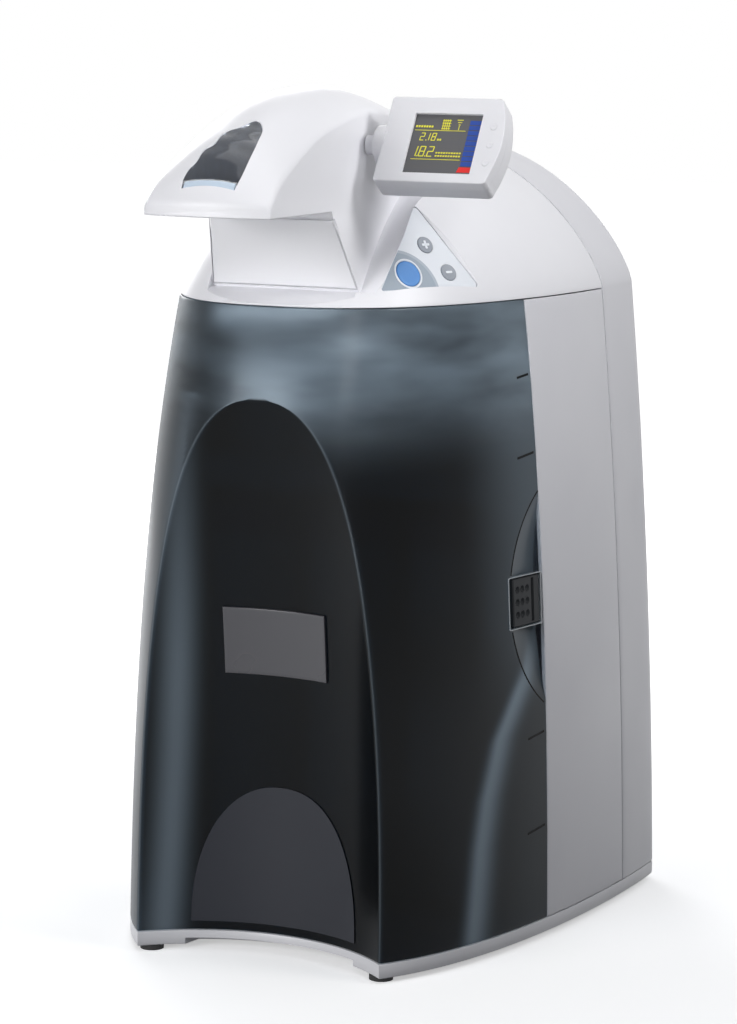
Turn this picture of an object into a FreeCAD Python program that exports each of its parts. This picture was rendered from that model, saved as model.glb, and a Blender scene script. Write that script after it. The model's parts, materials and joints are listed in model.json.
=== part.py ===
"""Bench-top ultrapure water system: a smoked front door with an arched scoop between light side panels, a white
domed top with a dispensing hood, a tilting display beside the hood and a triangular key pad on the shoulder.

Millimetres, +Z up, the front faces -Y.  The origin is on the bench, under the middle of the bounding box.
"""
import FreeCAD
import Part
import math
import os

from FreeCAD import Vector

os.makedirs("parts", exist_ok=True)

# ---------------------------------------------------------------- overall form
depth = 475.0                 # hood lip to rear face
front_y = -depth / 2
rear_y = depth / 2
foot_height = 4.0             # visible height of the rubber feet
rim_height = 11.0             # pale rim of the base tray under the door
shoulder_z = 492.0            # bench to the top edge of the door
base_half = 189.5             # half width of the body at the base
shoulder_half = 158.2         # half width of the body at the shoulder
side_bulge = 4.7              # how far the sides swell between base and shoulder
side_power_low = 2.906        # plan curve exponents at the base and at the shoulder
side_power_high = 2.52
nose_power_low = 1.692
nose_power_high = 2.059
nose_low_y = -175.0           # where the plan curve would close at the base
nose_shoulder_y = -125.5      # where it closes at the shoulder
nose_rise_power = 3.2
corner_radius = 5.0           # rear vertical corners
seam = 0.8                    # joint line between two covers
door_rear_y = 34.0            # rear edge of the door
rear_seam_y = 164.5           # joint between the side panels and the rear cover
dome_height = 112.0           # shoulder to the crown of the rear arch
dome_power = 1.35
dome_lean = 0.55              # how far the dome's nose moves back per mm of height
dome_cap = 0.93               # share of the dome's height where the spine takes over
cover_wall = 3.0
lip_thick = 2.5               # locating lips on the tray and under the top cover
lip_height = 12.0
lip_clear = 6.0               # ends of the lips to the nearest joint line
door_wall = 3.2
door_flange = 14.0            # inward flange at the top and bottom of the door

# ---------------------------------------------------------------- scoop in the door
scoop_apex_z = 426.0          # top of the arch
scoop_depth = 38.7            # depth of the scoop at the base
scoop_ridge_y = -137.6        # front edge of the scoop at the base
scoop_ridge_lean = 6.3
scoop_ridge_bow = 13.1
scoop_depth_power = 2.3
scoop_radius_low = 145.0
scoop_radius_gain = 65.0
scoop_half_span = 118.0       # the cutting surface runs past the ridge

# ---------------------------------------------------------------- hood and neck
hood_half = 48.5
neck_half = 58.7
hood_bottom_z = 561.0
neck_top_y = -125.5
neck_bottom_y = -97.5
neck_bottom_z = 502.5
lip_bow = 6.0                 # the lip's corners stand this much behind its middle
ledge_front_y = -126.0        # front end of the sloping ledge under the neck
ledge_front_z = 492.9
# edge and crown heights of the hood and spine, by distance back from the lip
spine_run = (0.0, 14.5, 33.0, 62.0, 90.0, 120.0, 151.0, 181.0, 221.0, 275.0, 335.0, 375.0, 402.0, 440.0, 475.0)
spine_edge = (569.1, 580.1, 590.3, 603.0, 614.3, 622.0, 627.8, 631.0, 629.8, 620.1, 608.4, 599.5, 596.0, 595.5, 595.5)
spine_crown = (572.0, 592.5, 609.7, 623.8, 634.8, 643.3, 647.7, 649.0, 645.8, 635.2, 623.0, 610.0, 605.0, 604.0, 604.0)
hood_lean = 0.051             # how far the hood's sides lean in per mm of height
hood_lean_z = 566.0
# smoked window in the hood: across, and back from the lip; its left edge runs in three waves
window_front_run = 7.3
window_middle_run = 34.0
window_outline = ((-19.9, 7.3), (-20.7, 10.5), (-20.3, 14.4), (-18.8, 18.4), (-15.8, 21.2), (-14.8, 25.0), (-14.6, 29.0),
                  (-13.4, 32.4), (-9.9, 34.6), (-8.0, 38.6), (-8.0, 44.0), (-7.6, 49.6), (-5.0, 53.6), (-0.2, 56.6),
                  (2.5, 61.9), (4.7, 67.6), (7.6, 70.2), (10.9, 69.4), (14.6, 65.0), (17.2, 60.4), (19.9, 49.6),
                  (22.0, 36.0), (22.6, 26.0), (22.4, 16.4), (20.4, 7.3))
neck_cover_inset = 2.6
neck_cover_thick = 2.0

# ---------------------------------------------------------------- display
display_left_x = 64.0
display_low_y = -89.2         # lower edge of the display's front face
display_low_z = 583.3
display_tilt = 33.0           # degrees back from upright
display_width = 85.5
display_bulge = 7.0           # bow of the right-hand side
display_height = 71.0
display_thick = 24.0
display_split = 9.0           # depth of the front shell
display_wall = 2.2
lcd_left = 21.0
lcd_low = 7.5
lcd_width = 52.3
lcd_height = 50.0
lcd_thick = 4.0
display_key_x = 83.3
display_key_first = 17.0
display_key_pitch = 15.0
display_key_radius = 2.6
display_key_travel = 0.8
pivot_up = 37.0               # pivot axis from the display's lower front edge
pivot_back = 13.0
pivot_radius = 14.7
pivot_shaft_radius = 6.0

# ---------------------------------------------------------------- key pad on the shoulder
pad_low_left = Vector(72.8, -92.8, 503.1)
pad_apex = Vector(71.6, -25.2, 562.5)
pad_low_right = Vector(119.4, -13.0, 503.7)
pad_thick = 1.6
pad_backing = 3.0
# hollow between the neck and the key pad: height, its line on the neck's side, its line along the pad's edge
valley_half = 72.6
valley_line = ((502.5, -94.0, -95.3), (515.0, -78.5, -81.1), (530.0, -58.5, -64.0), (546.0, -34.0, -45.8),
               (557.5, -14.0, -32.7), (566.0, 2.0, -16.0), (575.0, 19.0, 19.0), (585.0, 38.0, 60.0),
               (600.0, 66.0, 110.0))
dispense_key_u = 31.0
dispense_key_v = 13.2
dispense_key_radius = 10.2
plus_key_u = 55.4
plus_key_v = 35.8
minus_key_u = 68.4
minus_key_v = 12.6
small_key_radius = 6.6
key_proud = 0.9
key_travel = 1.2
key_gap = 0.3

# ---------------------------------------------------------------- door furniture
hinge_pin_radius = 1.5
hinge_barrel_radius = 3.2
hinge_running_gap = 0.05
hinge_length = 40.0
hinge_low_z = 60.0
hinge_high_z = 228.0
hinge_leaf = 24.0
hinge_leaf_thick = 2.2
leaf_gap = 0.1                # leaf to the cover it is fixed on
web_near = 0.5                # the web between barrel and leaf, from the joint line
web_far = 3.2
latch_z = 266.0
latch_pocket_half = 82.0      # half height of the finger pocket at the door's edge
latch_pocket_width = 45.0
latch_pocket_depth = 8.0
latch_length = 36.0
latch_height = 37.0
latch_thick = 9.0
latch_travel = 5.0
latch_gap = 0.5
latch_edge = 4.5              # latch to the door's rear edge
tongue_height = 14.0
tongue_reach = 4.0            # past the door's rear edge
guide_spring_room = 9.0
spring_radius = 1.0
spring_wire = 0.3
spring_pitch = 1.5
keeper_length = 12.0
plate_width = 82.5            # raised plate in the scoop
plate_height = 51.0
plate_z = 241.2
plate_thick = 2.0
plate_shift = 2.8             # both plates sit a little to the right of the middle
arch_plate_half = 67.5        # arched plate at the foot of the scoop
arch_plate_low_z = 22.5
arch_plate_high_z = 129.4
arch_plate_power = 2.25
arch_plate_thick = 0.8

# ---------------------------------------------------------------- chassis and wet parts
floor_thick = 3.0
tray_wall = 4.0
seat = 0.3                    # gap between a part and what carries it
bulkhead_y = 98.0
bulkhead_thick = 2.0
bulkhead_half = 130.0
bulkhead_flange = 20.0
deck_top_z = 482.0            # steel deck under the top cover
deck_thick = 2.0
deck_tongue_half = 62.0       # the deck's forward tongue carries the final filter
deck_tongue_front_y = -78.0
deck_lip = 10.0
cartridge_radius = 34.0
cartridge_pitch = 84.0
cartridge_y = 40.0
cartridge_top_z = 300.0
cradle_top_z = 26.0
cradle_recess = 6.0
cap_height = 22.0
cap_neck_radius = 12.0
cap_neck_height = 14.0
manifold_height = 22.0
uv_x = -112.0
uv_y = 152.0
uv_radius = 22.0
uv_low_z = 84.0
uv_high_z = 345.0
uv_lamp_radius = 8.0
filter_x = -45.0
filter_radius = 20.0
filter_low_z = 150.0
filter_high_z = 330.0
motor_radius = 28.0
motor_length = 70.0
motor_x = -30.0
motor_y = 150.0
motor_z = 46.0
motor_shaft_radius = 4.0
rotor_radius = 19.0
supply_width = 72.0
supply_depth = 84.0
supply_height = 52.0
board_width = 120.0
board_height = 130.0
board_thick = 1.6
standoff = 6.0
bay_half = 78.0
bay_low_z = 40.0
bay_high_z = 112.0
bay_depth = 27.0
bay_wall = 2.0
spigot_radius = 4.75
spigot_length = 16.0
spigot_z = 60.0
tube_radius = 3.2
post_radius = 5.0             # spacers that hold the rear cover
post_x = 88.0
post_low_z = 60.0
post_high_z = 420.0
screw_radius = 2.0
screw_head_radius = 4.0
screw_head = 2.4


# ================================================================ helpers
def save(name, shape):
    """Write one node; a group of solids stays a compound."""
    shape.exportStep("parts/" + name + ".step")


def box(x0, x1, y0, y1, z0, z1):
    """Box between two opposite corners."""
    return Part.makeBox(x1 - x0, y1 - y0, z1 - z0, Vector(x0, y0, z0))


def rod(radius, start, direction, length):
    """Cylinder from start along direction."""
    return Part.makeCylinder(radius, length, start, direction)


def ring(outer, inner, start, direction, length):
    """Round tube from start along direction."""
    return rod(outer, start, direction, length).cut(rod(inner, start, direction, length))


def soften(shape, radius, axis=None):
    """Fillet the straight edges of a block, or only those along one axis."""
    edges = []
    for edge in shape.Edges:
        run = edge.Vertexes[-1].Point.sub(edge.Vertexes[0].Point)
        if axis is None or abs(run.normalize().dot(axis)) > 0.999:
            edges.append(edge)
    return shape.makeFillet(radius, edges)


def prism(points, direction):
    """Solid from a closed polygon swept along a vector."""
    wire = Part.makePolygon(list(points) + [points[0]])
    return Part.Face(wire).extrude(direction)


def pipe(points, bend, radius):
    """Tube solid along straight runs joined by tangent arcs of one bend radius."""
    edges = []
    last = points[0]
    for before, corner, after in zip(points, points[1:], points[2:]):
        into = corner.sub(before).normalize()
        out = after.sub(corner).normalize()
        half_turn = into.getAngle(out) / 2
        reach = bend * math.tan(half_turn)
        start = corner.sub(into * reach)
        end = corner.add(out * reach)
        inward = out.sub(into).normalize()
        middle = corner.add(inward * (bend / math.cos(half_turn) - bend))
        edges.append(Part.LineSegment(last, start).toShape())
        edges.append(Part.Arc(start, middle, end).toShape())
        last = end
    edges.append(Part.LineSegment(last, points[-1]).toShape())
    path = Part.Wire(edges)
    run = points[1].sub(points[0]).normalize()
    profile = Part.Wire([Part.Circle(points[0], run, radius).toShape()])
    return path.makePipeShell([profile], True, True)


# ================================================================ outer form
base_bottom_z = foot_height
rim_top_z = foot_height + rim_height
wide_y = rear_y - corner_radius
full_z = 1000.0
far = 600.0
plan_steps = 15


def plan_values(z):
    """Half width, curve exponents and nose of the plan at height z."""
    if z <= shoulder_z:
        t = (z - base_bottom_z) / (shoulder_z - base_bottom_z)
        u = max(0.0, (z - rim_top_z) / (shoulder_z - rim_top_z))
        half = base_half + (shoulder_half - base_half) * t + 4 * side_bulge * t * (1 - t)
        side_power = side_power_low + (side_power_high - side_power_low) * t
        nose_power = nose_power_low + (nose_power_high - nose_power_low) * t
        nose = nose_low_y + (nose_shoulder_y - nose_low_y) * u ** nose_rise_power
        return half, side_power, nose_power, nose
    rise = (z - shoulder_z) / dome_height
    half = shoulder_half * math.sqrt(1 - rise ** dome_power)
    return half, side_power_high, nose_power_high, nose_shoulder_y + dome_lean * (z - shoulder_z)


def plan_x(y, z):
    """Half width of the outer form at one point."""
    half, side_power, nose_power, nose = plan_values(z)
    share = min(1.0, max(0.0, (wide_y - y) / (wide_y - nose)))
    return half * (1 - share ** nose_power) ** (1 / side_power)


def plan_wire(z, inset):
    """Closed plan outline: a superellipse front, two rear corner arcs and a straight rear."""
    half, side_power, nose_power, nose = plan_values(z)
    half -= inset
    length = wide_y - nose - inset
    points = []
    for step in range(-plan_steps, plan_steps + 1):
        angle = math.pi / 2 * (1 - abs(step) / plan_steps)
        x = half * math.cos(angle) ** (2 / side_power)
        y = wide_y - length * math.sin(angle) ** (2 / nose_power)
        points.append(Vector(math.copysign(x, -step), y, z))
    front = Part.BSplineCurve()
    front.interpolate(Points=points, Parameters=[float(i) for i in range(len(points))])
    corner = max(corner_radius - inset, 1.0)
    rear = wide_y + corner
    bend = corner * (1 - math.sqrt(0.5))
    left = Part.Arc(Vector(-half, wide_y, z), Vector(-half + bend, rear - bend, z), Vector(-half + corner, rear, z))
    right = Part.Arc(Vector(half - corner, rear, z), Vector(half - bend, rear - bend, z), Vector(half, wide_y, z))
    back = Part.LineSegment(Vector(-half + corner, rear, z), Vector(half - corner, rear, z))
    return Part.Wire([front.toShape(), left.toShape(), back.toShape(), right.toShape()])


def body_form(inset):
    """Outer form of the body from base to shoulder, moved inwards by a wall."""
    levels = 9
    span = shoulder_z - base_bottom_z
    wires = [plan_wire(base_bottom_z + span * i / levels, inset) for i in range(levels + 1)]
    return Part.makeLoft(wires, True, False)


def dome_form(inset):
    """Dome above the shoulder, up to where the spine covers it."""
    rises = [dome_cap * (i / 7) ** 1.3 for i in range(8)]
    wires = [plan_wire(shoulder_z + dome_height * rise, inset) for rise in rises]
    return Part.makeLoft(wires, True, False)


def scoop_form(grow):
    """Solid in front of the concave scoop, grown backwards by a wall."""
    wires = []
    levels = 12
    low = base_bottom_z - 1
    high = scoop_apex_z + 22
    for i in range(levels + 1):
        z = low + (high - low) * i / levels
        v = max(0.0, (z - rim_top_z) / (scoop_apex_z - rim_top_z))
        ridge = scoop_ridge_y + scoop_ridge_lean * v - scoop_ridge_bow * v * v
        middle_y = ridge + scoop_depth * (1 - v ** scoop_depth_power)
        radius = scoop_radius_low + scoop_radius_gain * v ** 6
        centre_y = middle_y - radius
        radius += grow
        side_y = centre_y + math.sqrt(radius ** 2 - scoop_half_span ** 2)
        left = Vector(-scoop_half_span, side_y, z)
        right = Vector(scoop_half_span, side_y, z)
        arc = Part.Arc(left, Vector(0, centre_y + radius, z), right).toShape()
        front_left = Vector(-scoop_half_span, front_y - 60, z)
        front_right = Vector(scoop_half_span, front_y - 60, z)
        sides = [Part.LineSegment(right, front_right), Part.LineSegment(front_right, front_left)]
        sides.append(Part.LineSegment(front_left, left))
        wires.append(Part.Wire([arc] + [side.toShape() for side in sides]))
    return Part.makeLoft(wires, True, False)


outer = body_form(0)
scoop = scoop_form(0)
dome_outer = dome_form(0)


# ================================================================ base
def base_tray():
    """Pale moulded tray with a rim that follows the body and the scoop."""
    slab = outer.common(box(-far, far, -far, far, base_bottom_z, rim_top_z)).cut(scoop)
    hollow = body_form(tray_wall).cut(scoop_form(tray_wall))
    slab = slab.cut(hollow.common(box(-far, far, -far, far, base_bottom_z + floor_thick, full_z)))
    relief_half = 68.0
    relief_low = rim_height - 5.0
    relief = box(-relief_half, relief_half, -far, scoop_ridge_y + 34, base_bottom_z - 1, base_bottom_z + relief_low)
    recess = relief.cut(scoop_form(tray_wall / 2))
    lip = body_form(cover_wall + seat).cut(body_form(cover_wall + seat + lip_thick))
    lip_low_z = base_bottom_z + floor_thick / 2
    lip = lip.common(box(-far, far, door_rear_y + lip_clear, far, lip_low_z, rim_top_z + lip_height))
    return slab.cut(recess).fuse(lip)


foot_radius = 9.0
foot_x = 132.0
foot_front_y = -30.0
foot_rear_y = 205.0
horn_foot_x = 94.0
horn_foot_y = -122.0


def feet():
    """Rubber feet: two under the front horns, two at the middle and two at the rear."""
    spots = []
    for side in (-1, 1):
        spots.append((side * horn_foot_x, horn_foot_y))
        spots.append((side * foot_x, foot_front_y))
        spots.append((side * foot_x, foot_rear_y))
    solids = [rod(foot_radius, Vector(x, y, 0), Vector(0, 0, 1), foot_height) for x, y in spots]
    return Part.makeCompound(solids)


save("base_tray", base_tray())
save("rubber_feet", feet())


# ================================================================ side panels and rear cover
inner = body_form(cover_wall)
panel_low_z = rim_top_z + seam
panel_high_z = shoulder_z - seam


def side_panel(side):
    """Pale side shell between the door and the rear cover."""
    near, away = (0, far) if side > 0 else (-far, 0)
    zone = box(near, away, door_rear_y + seam, rear_seam_y - seam, panel_low_z, panel_high_z)
    return outer.common(zone).cut(inner)


def connector_cut():
    """Opening in the rear cover for the connector bay."""
    return box(-bay_half - seat, bay_half + seat, wide_y - 20, far, bay_low_z - seat, bay_high_z + seat)


def spine(inset, start, end):
    """Crowned ridge that runs from the hood to the rear, as sections across Y."""
    wires = []
    half = hood_half - inset
    low_half = neck_half - inset
    last = spine_run[-1]
    for run, edge, crown in zip(spine_run, spine_edge, spine_crown):
        y = front_y + run / last * depth
        top_half = half - hood_lean * (edge - hood_lean_z)
        a = Vector(-top_half, y, edge - inset)
        b = Vector(0, y, crown - inset)
        c = Vector(top_half, y, edge - inset)
        d = Vector(half, y, hood_bottom_z)
        e = Vector(low_half, y, neck_bottom_z)
        f = Vector(-low_half, y, neck_bottom_z)
        g = Vector(-half, y, hood_bottom_z)
        if edge - inset < hood_bottom_z + 2:
            continue
        sides = [Part.LineSegment(p, q).toShape() for p, q in ((c, d), (d, e), (e, f), (f, g), (g, a))]
        wires.append(Part.Wire([Part.Arc(a, b, c).toShape()] + sides))
    solid = Part.makeLoft(wires, True, False)
    return solid.common(box(-far, far, start, end, 0, full_z))


def hood_plan(inset):
    """Bowed plan of the lip, used to trim the hood's front."""
    bow = Part.Arc(Vector(-hood_half, front_y + lip_bow + inset, 0), Vector(0, front_y + inset, 0),
                   Vector(hood_half, front_y + lip_bow + inset, 0))
    corners = [Vector(hood_half, front_y + lip_bow + inset, 0), Vector(far, front_y + lip_bow + inset, 0)]
    corners += [Vector(far, far, 0), Vector(-far, far, 0), Vector(-far, front_y + lip_bow + inset, 0)]
    corners.append(Vector(-hood_half, front_y + lip_bow + inset, 0))
    edges = [bow.toShape()] + [Part.LineSegment(p, q).toShape() for p, q in zip(corners, corners[1:])]
    return Part.Face(Part.Wire(edges)).extrude(Vector(0, 0, full_z))


def under_hood(grow):
    """Space below the hood and in front of the neck."""
    back = Vector(0, neck_top_y - neck_bottom_y, hood_bottom_z - 4 - neck_bottom_z).normalize()
    shift = Vector(0, back.z, -back.y) * grow
    top = Vector(-far, neck_top_y, hood_bottom_z - 4).add(shift)
    low = Vector(-far, neck_bottom_y, neck_bottom_z).add(shift)
    low_end = low.sub(back * 60)
    top_end = Vector(-far, top.y, hood_bottom_z + grow)
    points = [Vector(-far, -far, hood_bottom_z + grow), top_end, top, low_end, Vector(-far, -far, low_end.z)]
    return prism(points, Vector(2 * far, 0, 0))


def ledge_cut():
    """Wedge removed from the dome so that a sloping ledge lies in front of the neck."""
    a = Vector(-neck_half, neck_bottom_y, neck_bottom_z)
    b = Vector(-neck_half, ledge_front_y, ledge_front_z)
    c = Vector(-neck_half, ledge_front_y - 60, ledge_front_z)
    d = Vector(-neck_half, ledge_front_y - 60, hood_bottom_z)
    e = Vector(-neck_half, neck_top_y, hood_bottom_z - 4)
    return prism([a, b, c, d, e], Vector(2 * neck_half, 0, 0))


crown_z = shoulder_z + dome_height
spine_all = spine(0, -far, far)
spine_inner = spine(cover_wall, -far, far)
dome_inner = dome_form(cover_wall)
top_outer = dome_outer.fuse(spine_all)


def post_spots():
    """Places of the spacers and screws behind the rear cover."""
    return [(x, z) for x in (-post_x, post_x) for z in (post_low_z, post_high_z)]


def rear_cover():
    """Pale rear shell: it closes the back of the body and of the dome."""
    zone = box(-far, far, rear_seam_y, far, panel_low_z, full_z)
    shell = outer.fuse(top_outer).common(zone)
    shell = shell.cut(inner).cut(dome_inner)
    ridge_hollow = spine_inner.common(box(-far, far, -far, wide_y + corner_radius - cover_wall, 0, full_z))
    shell = shell.cut(ridge_hollow)
    for x, z in post_spots():
        shell = shell.cut(rod(screw_radius + seat, Vector(x, rear_y - 2 * cover_wall, z), Vector(0, 1, 0), far))
        shell = shell.cut(rod(screw_head_radius + seat, Vector(x, rear_y - screw_head - 0.2, z), Vector(0, 1, 0), far))
    return shell.cut(connector_cut())


save("side_panel_left", side_panel(-1))
save("side_panel_right", side_panel(1))
save("rear_cover", rear_cover())


# ================================================================ top cover
pad_u = pad_low_right.sub(pad_low_left).normalize()
pad_normal = pad_low_right.sub(pad_low_left).cross(pad_apex.sub(pad_low_left)).normalize()
pad_v = pad_normal.cross(pad_u)
pad_edge = pad_apex.sub(pad_low_left).normalize()
pad_corners = [pad_low_left, pad_low_right, pad_apex]
pad_middle = (pad_low_left + pad_low_right + pad_apex) * (1 / 3)


def pad_point(u, v, lift=0.0):
    """Point on the key pad: u along its lower edge, v up its face."""
    return pad_low_left.add(pad_u * u).add(pad_v * v).add(pad_normal * lift)


def pad_prism(grow, low, high):
    """Triangular prism on the key pad's outline, grown about its middle."""
    points = []
    for corner in pad_corners:
        away = corner.sub(pad_middle)
        points.append(corner.add(away.normalize() * (2 * grow)).add(pad_normal * low))
    return prism(points, pad_normal * (high - low))


def window_prism(grow):
    """Vertical prism on the outline of the hood's window."""
    middle = Vector(0, front_y + window_middle_run, 0)
    points = []
    for x, run in window_outline:
        arm = Vector(x, front_y + run, 0).sub(middle)
        points.append(middle.add(arm * (1 + grow / arm.Length)))
    side = Part.BSplineCurve()
    side.interpolate(points)
    sill = Part.LineSegment(points[-1], points[0])
    return Part.Face(Part.Wire([side.toShape(), sill.toShape()])).extrude(Vector(0, 0, full_z))


def valley(grow):
    """Space between the neck's right side and the key pad, carved out of the dome."""
    across = Vector(pad_normal.x, pad_normal.y, 0) - Vector(pad_edge.x, pad_edge.y, 0) * (pad_normal.z / pad_edge.z)
    across = across.normalize() * far
    wires = []
    for z, neck_line, pad_line in valley_line:
        drop = grow if z == valley_line[0][0] else 0
        neck_y = neck_line + 1.25 * grow
        pad_y = pad_line + 1.25 * grow
        start = Vector(valley_half + grow, pad_y, z - drop)
        points = [Vector(0, neck_y, z - drop), Vector(hood_half + 6, neck_y, z - drop), start, start.add(across)]
        points.append(Vector(0, start.add(across).y, z - drop))
        wires.append(Part.makePolygon(points + [points[0]]))
    return Part.makeLoft(wires, True, True)


tilt = math.radians(display_tilt)
face_up = Vector(0, math.sin(tilt), math.cos(tilt))
face_back = Vector(0, math.cos(tilt), -math.sin(tilt))
display_origin = Vector(display_left_x, display_low_y, display_low_z)
pivot_point = display_origin.add(face_up * pivot_up).add(face_back * pivot_back)
pivot_wall = 6.0
nozzle_y = front_y + 48.0
nozzle_radius = 6.0


def top_cover():
    """White dome, neck and hood in one moulding."""
    zone = box(-far, far, -far, rear_seam_y - seam, deck_top_z + seat, full_z)
    head = spine_all.common(hood_plan(0)).cut(under_hood(0))
    head_hollow = spine_inner.common(hood_plan(cover_wall)).cut(under_hood(cover_wall))
    dome = dome_outer.cut(ledge_cut()).cut(valley(0))
    ledge_hollow = ledge_cut()
    ledge_hollow.translate(Vector(0, cover_wall * 0.6, -cover_wall))
    dome_hollow = dome_inner.cut(ledge_hollow).cut(under_hood(cover_wall).common(ledge_cut())).cut(valley(cover_wall))
    shell = dome.fuse(head).cut(dome_hollow).cut(head_hollow)
    backing = pad_prism(cover_wall, -pad_thick - pad_backing, -pad_thick)
    shell = shell.fuse(backing.common(dome_outer.cut(valley(0))))
    shell = shell.cut(pad_prism(0, -pad_thick, 60.0))
    shell = shell.fuse(skirt()).common(zone)
    shell = shell.cut(window_prism(0).common(box(-far, far, -far, far, hood_bottom_z + 2 * cover_wall, full_z)))
    shell = shell.cut(rod(nozzle_radius + seat, Vector(0, nozzle_y, hood_bottom_z - 1), Vector(0, 0, 1), 8))
    shaft_hole = rod(pivot_shaft_radius + seat, Vector(hood_half - 20, pivot_point.y, pivot_point.z),
                     Vector(1, 0, 0), 40)
    shell = shell.cut(shaft_hole).cut(neck_recess())
    for u, v, radius in key_spots():
        shell = shell.cut(rod(radius + key_gap, pad_point(u, v, -20), pad_normal, 30))
    return shell


def skirt():
    """Locating skirt under the dome's edge that sits inside the side panels on the deck."""
    near = door_rear_y + lip_clear
    band = body_form(cover_wall + seat).cut(body_form(cover_wall + seat + lip_thick))
    band = band.common(box(-far, far, near, rear_seam_y - lip_clear, deck_top_z + seat, shoulder_z))
    step = dome_form(cover_wall / 2).cut(dome_form(cover_wall + seat + lip_thick))
    step = step.common(box(-far, far, near, rear_seam_y - lip_clear, shoulder_z, shoulder_z + lip_thick))
    return band.fuse(step)


def key_spots():
    """Place and radius of the three keys on the pad."""
    return [(dispense_key_u, dispense_key_v, dispense_key_radius), (plus_key_u, plus_key_v, small_key_radius),
            (minus_key_u, minus_key_v, small_key_radius)]


def neck_frame():
    """Up and outward directions of the sloping neck face."""
    up = Vector(0, neck_top_y - neck_bottom_y, hood_bottom_z - 4 - neck_bottom_z)
    out = Vector(0, -up.z, up.y).normalize()
    return up, out


def neck_plate(grow, low, high):
    """Trapezoid slab on the neck face between two depths."""
    up, out = neck_frame()
    share = (hood_bottom_z - 4 - neck_bottom_z) / (hood_bottom_z - neck_bottom_z)
    top_half = neck_half + (hood_half - neck_half) * share - neck_cover_inset + grow
    low_half = neck_half - neck_cover_inset + grow
    low_mid = Vector(0, neck_bottom_y, neck_bottom_z).add(out * low)
    run = up.Length
    lift = up.normalize()
    low_mid = low_mid.add(lift * (neck_cover_inset - grow))
    top_mid = low_mid.add(lift * (run - neck_cover_inset + 2 * grow))
    points = [low_mid.sub(Vector(low_half, 0, 0)), low_mid.add(Vector(low_half, 0, 0))]
    points += [top_mid.add(Vector(top_half, 0, 0)), top_mid.sub(Vector(top_half, 0, 0))]
    return prism(points, out * (high - low))


def neck_recess():
    """Shallow seat for the neck cover."""
    return neck_plate(seam / 2, -neck_cover_thick - seat, 0.5)


def hood_window():
    """Smoked window that fills the opening in the hood."""
    skin = spine(0.4, -far, far).cut(spine(cover_wall, -far, far))
    return skin.common(window_prism(-seat)).common(box(-far, far, -far, 0, hood_bottom_z + 6, full_z))


save("top_cover", top_cover())
save("neck_cover", neck_plate(0, -neck_cover_thick, 0))
save("hood_window", hood_window())


# ================================================================ hood fittings
lamp_length = 34.0
lamp_thick = 3.0
lamp_height = 18.0


def hood_lamp():
    """Light strip that stands on the hood's floor behind the lower edge of the window."""
    y = front_y + window_front_run + 6
    z = hood_bottom_z + cover_wall + seat
    return soften(box(-lamp_length / 2, lamp_length / 2, y, y + lamp_thick, z, z + lamp_height), 0.5)


def dispense_nozzle():
    """Outlet nozzle that hangs in the hood with its flange on the hood's floor."""
    tip = Part.makeCone(nozzle_radius - 2.5, nozzle_radius, 5, Vector(0, nozzle_y, hood_bottom_z - 1),
                        Vector(0, 0, 1))
    flange_z = hood_bottom_z + cover_wall + seat
    stem = rod(nozzle_radius, Vector(0, nozzle_y, hood_bottom_z + 4), Vector(0, 0, 1), cover_wall + 8)
    flange = rod(nozzle_radius + 4, Vector(0, nozzle_y, flange_z), Vector(0, 0, 1), 2.5)
    return tip.fuse(stem).fuse(flange)


final_filter_y = -45.0
final_filter_radius = 24.0
final_filter_low_z = deck_top_z + seat
final_filter_high_z = shoulder_z + 110.0


def final_filter():
    """Final filter capsule that stands in the neck on the chassis post."""
    capsule = rod(final_filter_radius, Vector(0, final_filter_y, final_filter_low_z), Vector(0, 0, 1),
                  final_filter_high_z - final_filter_low_z)
    capsule = capsule.makeFillet(8, [edge for edge in capsule.Edges if edge.Closed])
    port = rod(5, Vector(0, final_filter_y, final_filter_high_z - 1), Vector(0, 0, 1), 9)
    return capsule.fuse(port)


save("hood_lamp", hood_lamp())
save("dispense_nozzle", dispense_nozzle())
save("final_filter", final_filter())


# ================================================================ key pad
def key_panel():
    """Triangular pad plate with three key holes."""
    plate = pad_prism(-seat / 2, -pad_thick, 0)
    for u, v, radius in key_spots():
        plate = plate.cut(rod(radius + key_gap, pad_point(u, v, -5), pad_normal, 10))
    return plate


def key(u, v, radius):
    """Round key: a cap in the pad's hole on a wider foot under the cover."""
    low = -pad_thick - pad_backing
    cap = rod(radius, pad_point(u, v, low - key_travel - 1), pad_normal, key_proud - low + key_travel + 1)
    cap = cap.makeFillet(0.6, [cap.Edges[0]] if cap.Edges[0].Closed else [cap.Edges[1]])
    foot = rod(radius + 1.5, pad_point(u, v, low - key_gap - 1.5), pad_normal, 1.5)
    return cap.fuse(foot)


def key_mat():
    """Carrier under the keys, held by three posts to the cover's backing."""
    depth_low = -pad_thick - pad_backing - key_gap - 1.5 - key_travel - 2.5
    mat = pad_prism(-4.0, depth_low - 2, depth_low)
    posts = []
    for u, v in ((12, 4), (86, 4), (58, 58)):
        posts.append(rod(2, pad_point(u, v, depth_low - 1), pad_normal, -pad_thick - pad_backing - depth_low + 1 - seat))
    for post in posts:
        mat = mat.fuse(post)
    return mat


save("key_panel", key_panel())
save("dispense_key", key(dispense_key_u, dispense_key_v, dispense_key_radius))
save("plus_key", key(plus_key_u, plus_key_v, small_key_radius))
save("minus_key", key(minus_key_u, minus_key_v, small_key_radius))
save("key_carrier", key_mat())


# ================================================================ display
def face_point(x, up, back):
    """Point in the display's own frame: across, up its face, and back from its face."""
    return display_origin.add(Vector(x, 0, 0)).add(face_up * up).add(face_back * back)


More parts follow.
